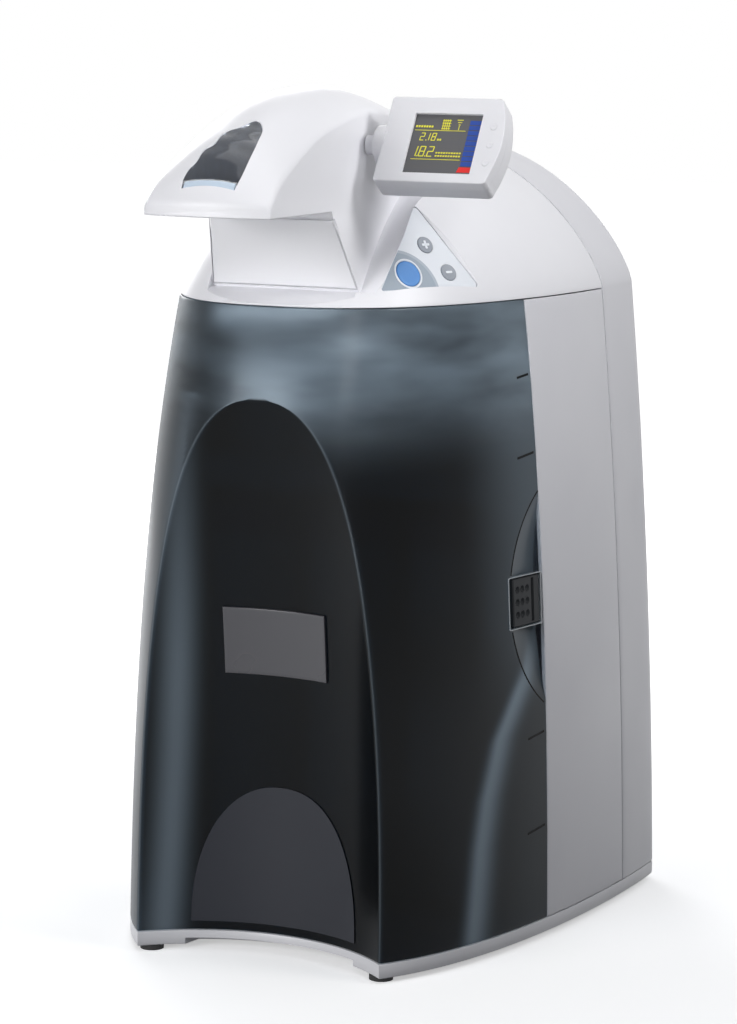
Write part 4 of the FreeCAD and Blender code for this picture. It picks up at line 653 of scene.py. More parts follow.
# The hollow between neck and key pad: at each height a straight floor from the neck's side to the pad's left edge,
# then out along the pad's plane.
neck_wall_x, pad_wall_x = 54.5, 72.6
slope = unit(pad_apex - pad_low_left)
z = np.linspace(valley_z[0], valley_z[-1], 40)
neck_y = smooth_curve(valley_z, valley_neck, z)
first = coords(neck_wall_x, neck_y, z)
last = coords(pad_wall_x, smooth_curve(valley_z, valley_pad, z), z)
far = last + unit((pad_out - slope * (pad_out[2] / slope[2])) * (1, 1, 0)) * 300
floor_line = [first + (last - first) * share for share in np.linspace(0, 1, 7)]
cut(top_cover, *stacked(np.stack([*floor_line, far, coords(0, far[:, 1], z), coords(0, neck_y, z)], 1)))
cut(top_cover, *stacked(head_rings), "UNION")
neck_run = np.array([0, neck_foot_y - neck_top_y, neck_foot_z - neck_top_z])
neck_length = np.linalg.norm(neck_run)
neck_up = -neck_run / neck_length
neck_out = np.array([0, -neck_up[2], neck_up[1]])
neck_foot = np.array([0, neck_foot_y, neck_foot_z])
plate_low_half, plate_high_half, plate_foot = 57.0, 48.4, 2.8
joint_gap = 0.9
recess_low = (plate_low_half + joint_gap, plate_foot - joint_gap)
recess_high = (plate_high_half + joint_gap, neck_length - 1.2)
recess = [(-recess_low[0], recess_low[1]), recess_low, recess_high, (-recess_high[0], recess_high[1])]
cut(top_cover, *extrusion(recess, -2.4, 6, (neck_foot, (1, 0, 0), neck_up, neck_out)))


def pad_ring(grow, radius, draft=0.0):
    """Triangle of the key pad moved out by grow, its right side by draft as well, corners rounded, as (u, v) pairs."""
    corners = pad_flat + draft_ways * draft
    ring = []
    for i in range(3):
        here, before, after = corners[i], corners[i - 1], corners[(i + 1) % 3]
        back = unit(before - here)
        ahead = unit(after - here)
        sine = math.sqrt((1 - np.dot(back, ahead)) / 2)
        centre = here + unit(back + ahead) * (radius - grow) / sine
        first = math.atan2(back[0], -back[1])
        last = math.atan2(-ahead[0], ahead[1])
        angles = first + ((last - first + math.pi) % (2 * math.pi) - math.pi) * np.linspace(0, 1, 8)
        ring.append(centre + radius * circle(angles))
    return np.concatenate(ring)


pad_keys = {"dispense_key": (31.0, 13.2, 10.2), "plus_key": (55.4, 35.8, 6.6), "minus_key": (68.4, 12.6, 6.6)}
cut(top_cover, *stacked([placed(pad_ring(0.4, 2.5, draft), lift, pad_frame)
                         for lift, draft in ((-1.7, 0.0), (0.3, 0.0), (40.3, 60.0))]))
for u, v, radius in pad_keys.values():
    bored(top_cover, pad_frame, (u, v), radius + 1.9, -9.5, 1)
window_knots = np.array([(-19.9, -230.2), (-20.7, -227), (-20.3, -223.1), (-18.8, -219.1), (-15.8, -216.3),
                         (-14.8, -212.5), (-14.6, -208.5), (-13.4, -205.1), (-9.9, -202.9), (-8.0, -198.9),
                         (-8.0, -193.5), (-7.6, -187.9), (-5.0, -183.9), (-0.2, -180.9), (2.5, -175.6), (4.7, -169.9),
                         (7.6, -167.3), (10.9, -168.1), (14.6, -172.5), (17.2, -177.1), (19.9, -187.9),
                         (22.0, -201.5), (22.6, -211.5), (22.4, -221.1), (20.4, -230.2)])
window_middle = np.array([0.0, -203.5])


def window_ring(grow):
    """Outline of the hood's window: a smooth curve through its knots by chord length and a straight sill, grown from
    its middle."""
    step = np.concatenate([[0], np.cumsum(np.linalg.norm(np.diff(window_knots, axis=0), axis=1))])
    at = np.linspace(0, step[-1], 150)
    side = coords(*(smooth_curve(step, knots, at) for knots in window_knots.T))
    sill = side[-1] + (side[0] - side[-1]) * np.linspace(0, 1, 21)[1:-1, None]
    arm = np.concatenate([side, sill]) - window_middle
    return window_middle + arm * (1 + grow / np.linalg.norm(arm, axis=1, keepdims=True))


cut(top_cover, *extrusion(window_ring(0.0), 566.0, 700, ((0, 0, 0), (1, 0, 0), (0, 1, 0), (0, 0, 1))))
resharpen(top_cover, 28.0)


# ---- Neck cover ----
# White ABS plate that closes the front of the neck behind a thin joint line.  Its white is painted lighter than
# the covers' white to make up for the shade under the hood.
plate_rise = neck_length - plate_foot - 2.6
neck_v, neck_v_away = border_steps(plate_rise, 20, 0.6)
neck_w, neck_w_away = border_steps(2.0, 24, 0.011)
width = (plate_low_half + (plate_high_half - plate_low_half) * neck_v / plate_rise)[:, None] * (neck_w - 1.0)
neck_face = (neck_foot + neck_up * plate_foot + neck_out * 0.05
             + width[..., None] * np.array([1.0, 0, 0]) + neck_v[:, None, None] * neck_up)
points, faces = rolled(neck_face, neck_v_away, neck_w_away * plate_low_half, 0.6, 1.9, neck_out)
# A lighter copy of the satin white ABS, painted lighter against the hood's shade.
neck_white_painted_lighter = moulded("moulded ABS plate, satin white, painted lighter", "#f0f0f3", "#ebebef", 0.36, 0.9, 0.02)
piece("neck_cover_plate", points, faces, neck_white_painted_lighter, "chassis", "cover_white", ["neck_cover"])


# ---- Hood window ----
# Smoked polycarbonate with a slight wave, let into the hood's crown over a pale light bar.
def tinted_shadow(tree, skin, tint):
    """A shader node that lets shadow rays through with a tint."""
    clear = add(tree, "BsdfTransparent", {"Color": linear(tint)})
    return add(tree, "MixShader", {0: add(tree, "LightPath").outputs["Is Shadow Ray"], 1: skin, 2: clear})


def smoked_window():
    """Smoked clear plastic: tinted rough transmission under a gloss coat, with a faint ripple."""
    material, tree, place = blank("smoked polycarbonate window")
    ripple = noise(tree, place, 14.0, 1.0)
    bump = add(tree, "Bump", {"Strength": 0.12, "Distance": 0.002, "Height": ripple})
    body = add(tree, "BsdfPrincipled", {
        "Base Color": two_tone(tree, "#6c727b", "#7b818b", ripple), "Roughness": 0.1, "Normal": bump, "IOR": 1.3,
        "Transmission Weight": 1.0, "Coat Weight": 0.45, "Coat Roughness": 0.03, "Coat IOR": 1.45})
    return finished(material, tinted_shadow(tree, body, "#8a8e94"))


window_smoke = smoked_window()
pane_outline = window_ring(-0.35)
pane_outline[:, 1] = np.maximum(pane_outline[:, 1], -226.6)
fold_height, fold_length = 0.28, 15.5
pane_rings = []
for share, lift in ([(share, -1.8) for share in (0.03, 0.5, 1.0)]
                    + [(share, 0.0) for share in (1.0, 0.97, 0.9, 0.78, 0.64, 0.5, 0.36, 0.22, 0.1, 0.03)]):
    flat = window_middle + (pane_outline - window_middle) * share
    fold = fold_height * np.sin((flat[:, 1] + 230.0) / fold_length * 2 * math.pi + 0.6)
    pane_rings.append(coords(*flat.T, hood_top(*flat.T) - 0.9 + fold + lift))
piece("hood_window_pane", *stacked(pane_rings), window_smoke, "chassis", "smoke_window", ["hood_window"])
strip_x = np.linspace(-18.6, 20.0, 30)
strip_steps = [(-229.9, -3.0), (-229.9, -0.9), (-229.5, -0.6), (-227.4, -0.6), (-227.0, -0.9), (-227.0, -3.0)]
strip_rings = [coords(strip_x, y, hood_top(strip_x, y) + lift) for y, lift in strip_steps]
frosted = moulded("frosted clear acrylic", "#c3d2e2", "#b4c6d8", 0.2, 2.0, 0.01, coat=0.5)
piece("hood_light_strip", *stacked(np.stack(strip_rings, 1)), frosted, "chassis", "clear")


# ---- Front door ----
# One smoked polycarbonate moulding, glossy outside; its vertices carry how far it is frosted inside, together with
# painted highlights and reflection streaks, and how clear it is.  The arched scoop meets the bowed front in a thin
# ridge; a shallow finger pocket lies round the latch.
door_low = rim_top + joint_line
door_high = shoulder - joint_line
latch_z = 266.0
door_thick = 3.2
latch_slope = (side_x(door_rear, latch_z) - side_x(door_rear - 50, latch_z)) / 50
latch_lean = (side_x(door_rear, latch_z + 40) - side_x(door_rear, latch_z - 40)) / 80
wall_run = np.array([latch_slope, 1, 0]) / math.hypot(latch_slope, 1)
wall_out = unit(np.array([1, -latch_slope, -latch_lean]))
wall_up = np.cross(wall_out, wall_run)
door_edge = np.array([side_x(door_rear, latch_z), door_rear, latch_z])
latch_corner = door_edge - wall_run * 4.5
wall_frame = (latch_corner, wall_run, wall_up, wall_out)
pocket_half, pocket_width, pocket_deep = 82.0, 45.0, 8.0
pocket_ring = (pocket_half ** 2 + pocket_width ** 2) / (2 * pocket_width)
pocket_ball = (pocket_ring ** 2 - (pocket_ring - pocket_width) ** 2) / (2 * pocket_deep)
rim_middle = door_edge + wall_run * (pocket_ring - pocket_width)
pocket_centre = rim_middle + wall_out * math.sqrt(pocket_ball ** 2 - pocket_ring ** 2)


def door_skin(z, inset):
    """Door surface at heights z: left flank, scoop and right flank columns, moved in by inset."""
    steps = np.concatenate([[0, 0.0022, 0.006, 0.012], np.linspace(0.02, 0.40, 46),
                            np.linspace(0.41, 1 - edge_round / 60, 36), [1]])
    x, y = flank(z, door_rear, steps, inset)
    ridge = ridge_x(z, inset)
    across = np.concatenate([[-1 + 0.012], np.linspace(-0.97, 0.97, 61), [1 - 0.012]])
    sx = ridge[:, None] * across[None, :]
    sy = np.maximum(scoop_line(sx, z[:, None], inset), front_line(sx, z[:, None], inset))
    x[:, -1] = x[:, -1] * 0.5 + (x[:, -2] + sx[:, -1]) * 0.25
    y[:, -1] = y[:, -1] * 0.5 + (y[:, -2] + sy[:, -1]) * 0.25
    right = coords(x, y, z[:, None])
    left = right * (-1, 1, 1)
    middle = coords(sx, sy, z[:, None])
    away = right - pocket_centre
    along = away @ wall_out
    across_ball = (pocket_ball + inset) ** 2 - np.sum(away ** 2, -1) + along ** 2
    dish = -np.sqrt(np.maximum(across_ball, 0))
    inside = (across_ball > 0) & (along > dish)
    right = np.where(inside[..., None], right + (dish - along)[..., None] * wall_out, right)
    return np.concatenate([left, middle, right[:, ::-1]], axis=1)


edge_rows = np.array([0, 0.1, 0.35, edge_round])
door_z = np.concatenate([door_low + edge_rows, np.linspace(door_low + 4, 380, 106), np.linspace(382, 440, 32),
                         np.linspace(443, door_high - 2, 20), door_high - edge_rows[::-1]])
outer = door_skin(door_z, 0.0)
normal = normals(outer)
if normal[60, outer.shape[1] // 2, 1] > 0:
    normal = -normal
edge_drop = rounding(np.minimum(door_z - door_low, door_high - door_z), edge_round)
points, faces = closed_panel(outer - normal * edge_drop[:, None, None], door_skin(door_z, door_thick))


def ease(value, low, high):
    """Smooth step of an array between two values."""
    t = np.clip((value - low) / (high - low), 0, 1)
    return t * t * (3 - 2 * t)


def fall(value, centre, reach):
    """Gaussian fall of an array from a centre."""
    return np.exp(-((value - centre) / reach) ** 2)


def frost_and_painted_highlights(x, y, z):
    """Share of frosted layer and painted highlights at points (mm) of the door: a level frosted veil above 375 mm,
    thinner to the left; painted highlights as brighter spots under the rim and over the arch; painted reflection
    streaks as a strip by the arch's left foot and a curved band under the finger pocket; none in the rest of the
    scoop; and a painted highlight as a thin pale line on the ridge."""
    ridge = ridge_x(z)
    under_arch = z < scoop_top
    scooped = under_arch & (np.abs(x) < ridge - 0.3) & (y < 0)
    haze_and_highlights = ease(z, 366, 440) * (0.03 + 0.2 * ease(x, -60, 10) * (1 - 0.35 * ease(x, 70, 120)))
    # Painted highlights: a pale band under the rim and a spot to its right.
    haze_and_highlights += 0.55 * fall(z, 488, 8) * ease(x, -60, -30) * (1 - ease(x, 30, 75))
    haze_and_highlights += 0.42 * fall(x, 61, 20) * fall(z, 469, 11)
    # Painted highlight: a pale glow over the arch's top.
    haze_and_highlights += 0.66 * fall(x, 5, 25) * fall(z, 430, 16)
    haze_and_highlights += 0.24 * ease(y, -62, 30) * (0.25 + 0.75 * ease(z, 170, 260)) * (x > 0)
    haze_and_highlights += 0.08 * (x < -60) * (1 - ease(z, 380, 430))
    haze_and_highlights = np.where(scooped, 0.0, haze_and_highlights)
    # Painted reflection streak by the arch's left foot.
    haze_and_highlights += 0.42 * fall(x, -84 + 0.055 * z, 11) * (1 - 0.7 * ease(z, 180, 400)) * (y < 0) * under_arch
    # Painted reflection streak: a curved band under the finger pocket.
    band = np.interp(z, [15, 37, 86, 123, 166, 193, 230], [-60, -57, -51, -43, -27, -7, 22])
    haze_and_highlights += 0.85 * fall(y, band, np.where(y < band, 8, 15)) * (x > 100) * (1 - ease(z, 195, 245))
    # Painted highlight: a thin pale line along the ridge.
    haze_and_highlights += 0.22 * under_arch * fall(np.abs(x), ridge, 0.7) * (y < 0)
    return np.clip(haze_and_highlights, 0, 1), np.where(scooped, 0.0, ease(z, 385, 450))


def smoked_door():
    """Smoked polycarbonate, frosted inside: near black at the foot, clearer towards the top, milky where the frosted
    layer is thick and pale where highlights and reflection streaks are painted, under a gloss skin; light for shadows
    passes dimmed."""
    material, tree, place = blank("smoked polycarbonate door, frosted inside")
    clear_share = add(tree, "Attribute", attribute_name="clearness").outputs["Fac"]
    frost_and_highlight_share = add(tree, "Attribute", attribute_name="frost_and_painted_highlights").outputs["Fac"]
    level = add(tree, "Mapping", {"Vector": place, "Scale": (14.0, 14.0, 48.0)})
    clouds = noise(tree, level, 1.0, 2.0)
    patchy = add(tree, "MapRange", {0: clouds, 1: 0.3, 2: 0.7, 3: 0.6, 4: 1.4})
    uneven = add(tree, "Mix", {0: clear_share, 2: 1.0, 3: patchy})
    thin = add(tree, "Math", {0: clear_share, 1: clouds}, operation="MULTIPLY")
    milky = add(tree, "Math", {0: frost_and_highlight_share, 1: uneven}, operation="MULTIPLY")
    body = add(tree, "BsdfPrincipled", {
        "Base Color": two_tone(tree, "#0c1721", "#83909a", thin), "Roughness": 0.3, "IOR": 1.15,
        "Transmission Weight": 0.95, "Coat Weight": 0.14, "Coat Roughness": 0.14, "Coat IOR": 1.45})
    # Pale diffuse colour of the frosted layer and of the painted highlights and reflection streaks.
    frost_and_highlight_tone = add(tree, "BsdfDiffuse", {"Color": linear("#9dacb8")})
    skin = add(tree, "MixShader", {0: milky, 1: body, 2: frost_and_highlight_tone})
    return finished(material, tinted_shadow(tree, skin, "#d0d6da"))


door_smoke = smoked_door()
door = piece("front_door_shell", points, faces, door_smoke, "door", "smoke_door", ["front_door"], 24.0)
slot_first, slot_last, slot_half = -41.5, 0.5, 19.0
opening = [(slot_first, -slot_half), (slot_last, -slot_half), (slot_last, slot_half), (slot_first, slot_half)]
cut(door, *extrusion(opening, -21, 12, wall_frame))
resharpen(door, 24.0)
spots = np.empty(len(door.data.vertices) * 3)
door.data.vertices.foreach_get("co", spots)
spots = spots.reshape(-1, 3) * 1000
# The painted highlights and reflection streaks go onto the vertices with the frosted layer's share.
for label, values in zip(("frost_and_painted_highlights", "clearness"), frost_and_painted_highlights(*spots.T)):
    door.data.attributes.new(label, "FLOAT", "POINT").data.foreach_set("value", values.astype(np.float32))
rib_black = moulded("moulded polycarbonate, black", "#0a0b0d", "#0e1012", 0.6, 1.0, 0.01, index=1.2)
latch_clear = 21.5
rims = []
for side in (-1, 1):
    turn = side * np.arcsin(np.linspace(latch_clear, pocket_half * 0.99, 50) / pocket_ring)
    out = np.sin(turn)[:, None] * wall_up - np.cos(turn)[:, None] * wall_run
    rim_rings = []
    for across, lift in ((-0.7, -1.0), (-0.7, 0.0), (-0.4, 0.12), (0.4, 0.12), (0.7, 0.0), (0.7, -1.0)):
        edge = rim_middle + (pocket_ring + across) * out
        rim_rings.append(coords(side_x(*edge.T[1:]) + lift, *edge.T[1:]))
    rims.append(stacked(np.stack(rim_rings, 1)))
piece("finger_pocket_rim", *joined(rims), rib_black, "door", "smoke_door")
ribs = []
for rib_z, rib_run in ((436.0, 15.0), (377.0, 22.0), (163.0, 22.0), (90.0, 24.0)):
    run = np.linspace(door_rear - 3, door_rear - 3 - rib_run, 12)
    rib_rings = []
    for inset, lift in ((-0.12, -0.9), (-0.12, 0.9), (8.0, 0.9), (8.0, -0.9)):
        height = rib_z + lift - 0.12 * (door_rear - run)
        rib_rings.append(coords(side_x(run, height, inset), run, height))
    ribs.append(stacked(np.stack(rib_rings, 1)))
piece("door_edge_ribs", *joined(ribs), rib_black, "door", "smoke_door")


# ---- Name plate and arched plate ----
# Two bare dark plates bonded in the scoop: a raised one at hand height and a thin arched one at the foot.
plate_dark = moulded("moulded ABS, dark satin", "#3b3b41", "#34343a", 0.3, 0.7, 0.015, coat=0.25, patch_mm=60.0)
plate_wide, plate_tall, plate_round = 82.5, 51.0, 0.6
plate_middle, plate_low = 2.8, 215.7
plate_u, plate_u_away = border_steps(plate_wide, 40, plate_round)
plate_v, plate_v_away = border_steps(plate_tall, 26, plate_round)
zz, xx = np.meshgrid(plate_low + plate_v, plate_middle + plate_u - plate_wide / 2, indexing="ij")
face = coords(xx, scoop_line(xx, zz) - 2.1, zz)
points, faces = rolled(face, plate_v_away, plate_u_away, plate_round, 1.9, (0, -1, 0))
piece("name_plate_bare", points, faces, plate_dark, "door", "plate_dark", ["name_plate"])
arch_share = np.concatenate([[0, 0.004, 0.012], np.linspace(0.03, 0.988, 40), [0.996, 1]])
arch_across = np.sin(np.linspace(-math.pi / 2, math.pi / 2, 70)) * 0.9995
arch_low, arch_tall, arch_wide, arch_power = 22.5, 106.9, 67.5, 2.25
xx = plate_middle + arch_wide * arch_across
zz = arch_low + arch_tall * (1 - np.abs(arch_across) ** arch_power) ** (1 / arch_power) * arch_share[:, None]
face = coords(xx, scoop_line(xx, zz) - 0.9, zz)
points, faces = closed_panel(face, face + (0, 0.75, 0))
arch_dark = moulded("embossed polyester plate, dark satin", "#262931", "#20222a", 0.4, 0.7, 0.012, patch_mm=60.0,
                    index=1.36)
piece("arch_plate_bare", points, faces, arch_dark, "door", "plate_dark", ["arch_plate"])


# ---- Latch ----
# Black sliding latch with nine round grip dimples and a groove, in a pale frame; its foot and tongue lie behind.
def hoop(rings):
    """Closed ring-shaped solid: a profile of equal rings joined back to its first."""
    points = np.stack([*rings, rings[0]])
    return points, grid_faces(len(points), points.shape[1], True)


latch_black = moulded("moulded nylon, black", "#14171b", "#0f1216", 0.5, 0.6, 0.015, patch_mm=30.0, index=1.28)
latch_wide, latch_tall, latch_round, dimple = 36.0, 37.0, 1.4, 2.7
latch_u, latch_u_away = border_steps(latch_wide, 80, latch_round)
latch_v, latch_v_away = border_steps(latch_tall, 80, latch_round)
uu, vv = np.meshgrid(latch_u - latch_wide, latch_v - latch_tall / 2, indexing="ij")
dip = 1.7 * np.clip(1.9 - np.abs(uu + 9.6), 0, 0.7) / 0.7 * (np.abs(vv) < 16.5)
for row in (-9.5, 0, 9.5):
    for column in (-30, -23.4, -16.8):
        reach = (uu - column) ** 2 + (vv - row) ** 2
        dip = np.maximum(dip, np.sqrt(np.maximum(0, dimple ** 2 - reach)) - 0.6)
dip = dip + rounding(np.minimum(latch_u_away[:, None], latch_v_away), latch_round)
flat = latch_corner + uu[..., None] * wall_run + vv[..., None] * wall_up
latch_parts = [closed_panel(flat - dip[..., None] * wall_out, flat - 9.0 * wall_out)]
for first, last, half, low, high in ((-30, -4, 14.5, -12.9, -7), (-30, -4, 21.5, -14.1, -11.9),
                                     (-8, 8.5, 7, -14.1, -11.9)):
    ring = round_ring(last - first, 2 * half, 0.8) + ((first + last) / 2, 0)
    latch_parts.append(extrusion(ring, low, high, wall_frame))
piece("latch_grip", *joined(latch_parts), latch_black, "latch", "plate_dark", ["latch_slide"])
frame_rings = [placed(round_ring(41.2 + grow, 37.2 + grow, 1.2) - (20.4, 0), lift, wall_frame)
               for grow, lift in ((1.2, -2.0), (1.2, 0.5), (1.5, 0.75), (2.7, 0.75), (3.0, 0.5), (3.0, -2.0))]
# The frame's pale grey is a painted light outline, standing in for its lit clear edge.
frame_painted_lit_edge = moulded("moulded clear polycarbonate, painted pale as a lit edge", "#8d959b", "#7f878d", 0.15, 2.0, 0.005, coat=0.6,
                      patch_mm=30.0)
piece("latch_frame", *hoop(frame_rings), frame_painted_lit_edge, "door", "clear")


# ---- Display ----
# White ABS housing in two shells on a round hub, a recessed colour screen and three small round keys.
tilt = math.radians(33.0)
face_up = np.array([0, math.sin(tilt), math.cos(tilt)])
face_back = np.array([0, math.cos(tilt), -math.sin(tilt)])
display_corner = np.array([64.0, -89.2, 583.3])
face_frame = (display_corner, (1, 0, 0), face_up, face_back)
display_wide, display_tall, display_bow = 85.5, 71.0, 7.0
corner_round, small_round = 4.0, 2.2
screen_left, screen_low, screen_wide, screen_tall = 21.0, 7.5, 52.3, 50.0
display_keys = [(83.3, 17.0), (83.3, 32.0), (83.3, 47.0)]


def display_ring(inset):
    """Outline of the display's face: straight left, top and bottom, bowed right, rounded corners, (u, v) pairs."""
    low = inset
    high = display_tall - inset
    right = display_wide - inset
    v = np.linspace(low + corner_round, high - corner_round, 24)
    bow = display_bow * (1 - ((v - display_tall / 2) / (display_tall / 2)) ** 2)
    end = right + bow[0] - corner_round
    upper = circle(quarter(8))
    lower = upper[:, ::-1] * (1, -1)
    return np.concatenate([(end, low + corner_round) + corner_round * lower, coords(right + bow, v)[1:-1],
                           (end, high - corner_round) + corner_round * upper,
                           (low + small_round, high - small_round) - small_round * lower,
                           (low + small_round, low + small_round) - small_round * upper])


def display_half(name, node, steps):
    """Half of the housing from (depth, inset) steps of its outline."""
    rings = [placed(display_ring(inset), back, face_frame) for back, inset in steps]
    return piece(name, *stacked(rings), display_white, "display", "bezel_white", [node])


def turned(profile, centre, place, steps):
    """Rings of a turned shape about a (u, v) centre, from (lift, radius) pairs."""
    return [placed(disc_ring(radius, steps) + centre, lift, place) for lift, radius in profile]


display_white = moulded("moulded ABS housing, satin white", "#dcdce0", "#d6d6db", 0.4, 0.9, 0.015)
bezel = display_half("display_front_shell", "display_bezel",
                     [(0.0, 1.1), (0.12, 0.5), (0.5, 0.12), (1.1, 0.0), (9.0, 0.0)])
screen_middle = (screen_left + screen_wide / 2, screen_low + screen_tall / 2)
cut(bezel, *extrusion(round_ring(screen_wide + 2.7, screen_tall + 2.7, 0.6) + screen_middle, 2.15, 6.6, face_frame))
cut(bezel, *extrusion(round_ring(screen_wide, screen_tall, 0.6) + screen_middle, -1, 3, face_frame))
for centre in display_keys:
    bored(bezel, face_frame, centre, 2.68, -1, 5.5, 32)
resharpen(bezel)
rear_half = display_half("display_rear_shell", "display_back",
                         [(9.15, 0.0), (20.6, 0.0), (22.2, 0.5), (23.4, 1.6), (24.0, 3.4)])
hub_frame = ((display_corner + face_up * 37.0 + face_back * 13.0) * (0, 1, 1), (0, 1, 0), (0, 0, 1), (1, 0, 0))
hub_steps = [(47.9, 7.2), (56.0, 7.2), (56.2, 13.0), (56.8, 14.2), (58.0, 14.7), (66.0, 14.7)]
cut(rear_half, *stacked(turned(hub_steps, (0, 0), hub_frame, 56)), "UNION")
resharpen(rear_half)
key_white = moulded("moulded ABS key, satin white", "#dcdce0", "#d6d6db", 0.3, 0.6, 0.01)
key_steps = [(4.2, 2.6), (0.1, 2.6), (-0.18, 2.45), (-0.3, 2.1), (-0.22, 1.2), (-0.12, 0.4)]
for number, centre in enumerate(display_keys, 1):
    piece(f"display_key_cap_{number}", *stacked(turned(key_steps, centre, face_frame, 32)), key_white,
          f"display_button_{number}", "bezel_white", [f"display_key_{number}"])


def glow(name, code, strength):
    """Lit cell of the screen: its own colour with a little emission."""
    material, tree, place = blank(name)
    cells = noise(tree, place, 900.0, 2.0)
    dimmed = (*(np.array(linear(code)[:3]) * 0.86), 1.0)
    tone = add(tree, "Mix", {0: cells, 6: linear(code), 7: dimmed}, data_type="RGBA").outputs[2]
    return finished(material, add(tree, "BsdfPrincipled", {
        "Base Color": tone, "Roughness": 0.35, "Emission Color": tone, "Emission Strength": strength}))


screen_grey = moulded("screen glass, charcoal", "#555558", "#4f4f52", 0.4, 3.0, 0.00005, patch_mm=40.0)
screen_yellow = glow("screen yellow", "#d8d43a", 0.25)
screen_blue = glow("screen blue", "#173f93", 0.15)
screen_red = glow("screen red", "#d2211e", 0.15)


def bar(u, v, wide, tall, lean=0.0):
    """Slanted rectangle as four (u, v) corners."""
    return [(u, v), (u + wide, v), (u + wide + lean * tall, v + tall), (u + lean * tall, v + tall)]


def digit(bars, u, v, tall, thick):
    """Named bars, a to g, of one seven-segment figure whose foot is at (u, v)."""
    wide = tall * 0.5
    lean = 0.12
    half = tall / 2
    level = (thick * 0.4, wide - 0.8 * thick, thick)
    low, high = (0.25, half - 0.4), (half + 0.15, half - 0.4)
    places = {"a": (tall - thick, *level), "d": (0, *level), "g": (half - thick / 2, *level),
              "f": (high[0], 0, thick, high[1]), "e": (low[0], 0, thick, low[1]),
              "b": (high[0], wide - thick, thick, high[1]), "c": (low[0], wide - thick, thick, low[1])}
    return [bar(u + left + lean * foot, v + foot, across, rise, lean)
            for foot, left, across, rise in (places[name] for name in bars)]


def screen_marks(name, quads, material):
    """Thin raised cells on the screen from lists of (u, v) corners."""
    cells = [extrusion(np.array(quad) + (screen_left, screen_low), 2.0, 2.35, face_frame) for quad in quads]
    piece(name, *joined(cells), material, "display", "lcd_grey")


one, two, eight = "bc", "abged", "abcdefg"
yellow = [bar(3.5, 12.4, 38, 0.35), bar(1.5, 36.6, 39, 0.35)]
yellow += [bar(1.6 + i * 2.0, 39.2, 1.3, 1.5, 0.1) for i in range(7)]
for figure, u in ((two, 6.6), (one, 10.6), (eight, 15.4)):
    yellow += digit(figure, u, 28.2, 6.4, 0.5)
yellow += [bar(11.4, 28.2, 0.7, 0.7), bar(20.4, 28.4, 1.2, 1.4), bar(22.2, 28.4, 1.2, 1.4)]
for figure, u in ((one, 2.2), (eight, 8.3), (two, 14.8)):
    yellow += digit(figure, u, 14.8, 8.6, 0.62)
yellow += [bar(7.1, 14.8, 0.7, 0.7), bar(13.6, 14.8, 0.7, 0.7)]
for row in (15.0, 17.6):
    yellow += [bar(21.6 + i * 2.0, row, 1.3, 1.1, 0.1) for i in range(10)]
for i in range(4):
    yellow += [bar(22.0 + i * 1.6, 37.6, 0.45, 8.6), bar(21.6, 38.2 + i * 2.3, 6.6, 0.4)]
yellow += [bar(32.6, 45.6, 4.6, 0.5), bar(33.4, 43.6, 3.0, 0.5), bar(34.2, 41.6, 1.4, 0.5), bar(34.7, 37.6, 0.4, 3.4)]
screen_marks("screen_figures", yellow, screen_yellow)
screen_marks("screen_level", [bar(42.8, 7.6 + i * 4.3, 9.1, 3.5) for i in range(9)], screen_blue)
screen_marks("screen_low_mark", [[(41.0, 2.4), (51.9, 2.4), (51.9, 6.6), (42.2, 6.6)]], screen_red)


# ---- Key pad ----
# Printed polyester film over a plate in the recess, with a round blue key in a white ring and two small grey keys.
film_finish = (0.42, 1.2, 0.004, 0.05, 40.0)
pad_film = moulded("printed polyester film", "#dde1e7", "#d6dae1", *film_finish)
pad_tone = moulded("printed film, blue grey", "#97a3af", "#8f9ba8", *film_finish)
pad_line = moulded("printed film, pale border", "#a8b1bc", "#a1aab6", *film_finish)
plate_steps = [(-1.6, 0.0), (-0.25, 0.0), (-0.06, -0.12), (0.0, -0.4)]
plate = piece("key_pad_plate", *stacked([placed(pad_ring(grow, 2.4), lift, pad_frame) for lift, grow in plate_steps]),
              pad_film, "chassis", "pad_grey", ["key_panel"])
for u, v, radius in pad_keys.values():
    bored(plate, pad_frame, (u, v), radius + 0.3, -9, 1)
resharpen(plate)
blue_key = np.array(pad_keys["dispense_key"][:2])
ring_inside, print_radius, border_radius = 10.6, 28.6, 31.0
print_middle, print_margin, least_slope = (24.0, 2.0), 0.7, 1e-6


def print_reach(direction, radius):
    """Distance from the blue key's centre along each direction to a printed circle or the pad's edge, the nearer."""
    offset = blue_key - print_middle
    along = direction @ offset
    round_edge = -along + np.sqrt(np.maximum(along ** 2 - offset @ offset + radius ** 2, 0))
    down = direction[:, 1]
    bottom = np.where(down < -least_slope, (print_margin - blue_key[1]) / np.minimum(down, -least_slope), 1e3)
    left = unit(pad_flat[2][::-1] * (-1, 1))
    facing = direction @ left
    side = np.where(facing > least_slope, (-print_margin - blue_key @ left) / np.maximum(facing, least_slope), 1e3)
    return np.minimum(round_edge, np.minimum(bottom, side))


def band_rings(inner, outer, direction, lift):
    """Sections of a thin printed band on the pad between two distances from the blue key's centre."""
    return np.stack([placed(blue_key + direction * reach[:, None], height, pad_frame)
                     for reach, height in ((inner, -0.1), (inner, lift), (outer, lift), (outer, -0.1))], 1)


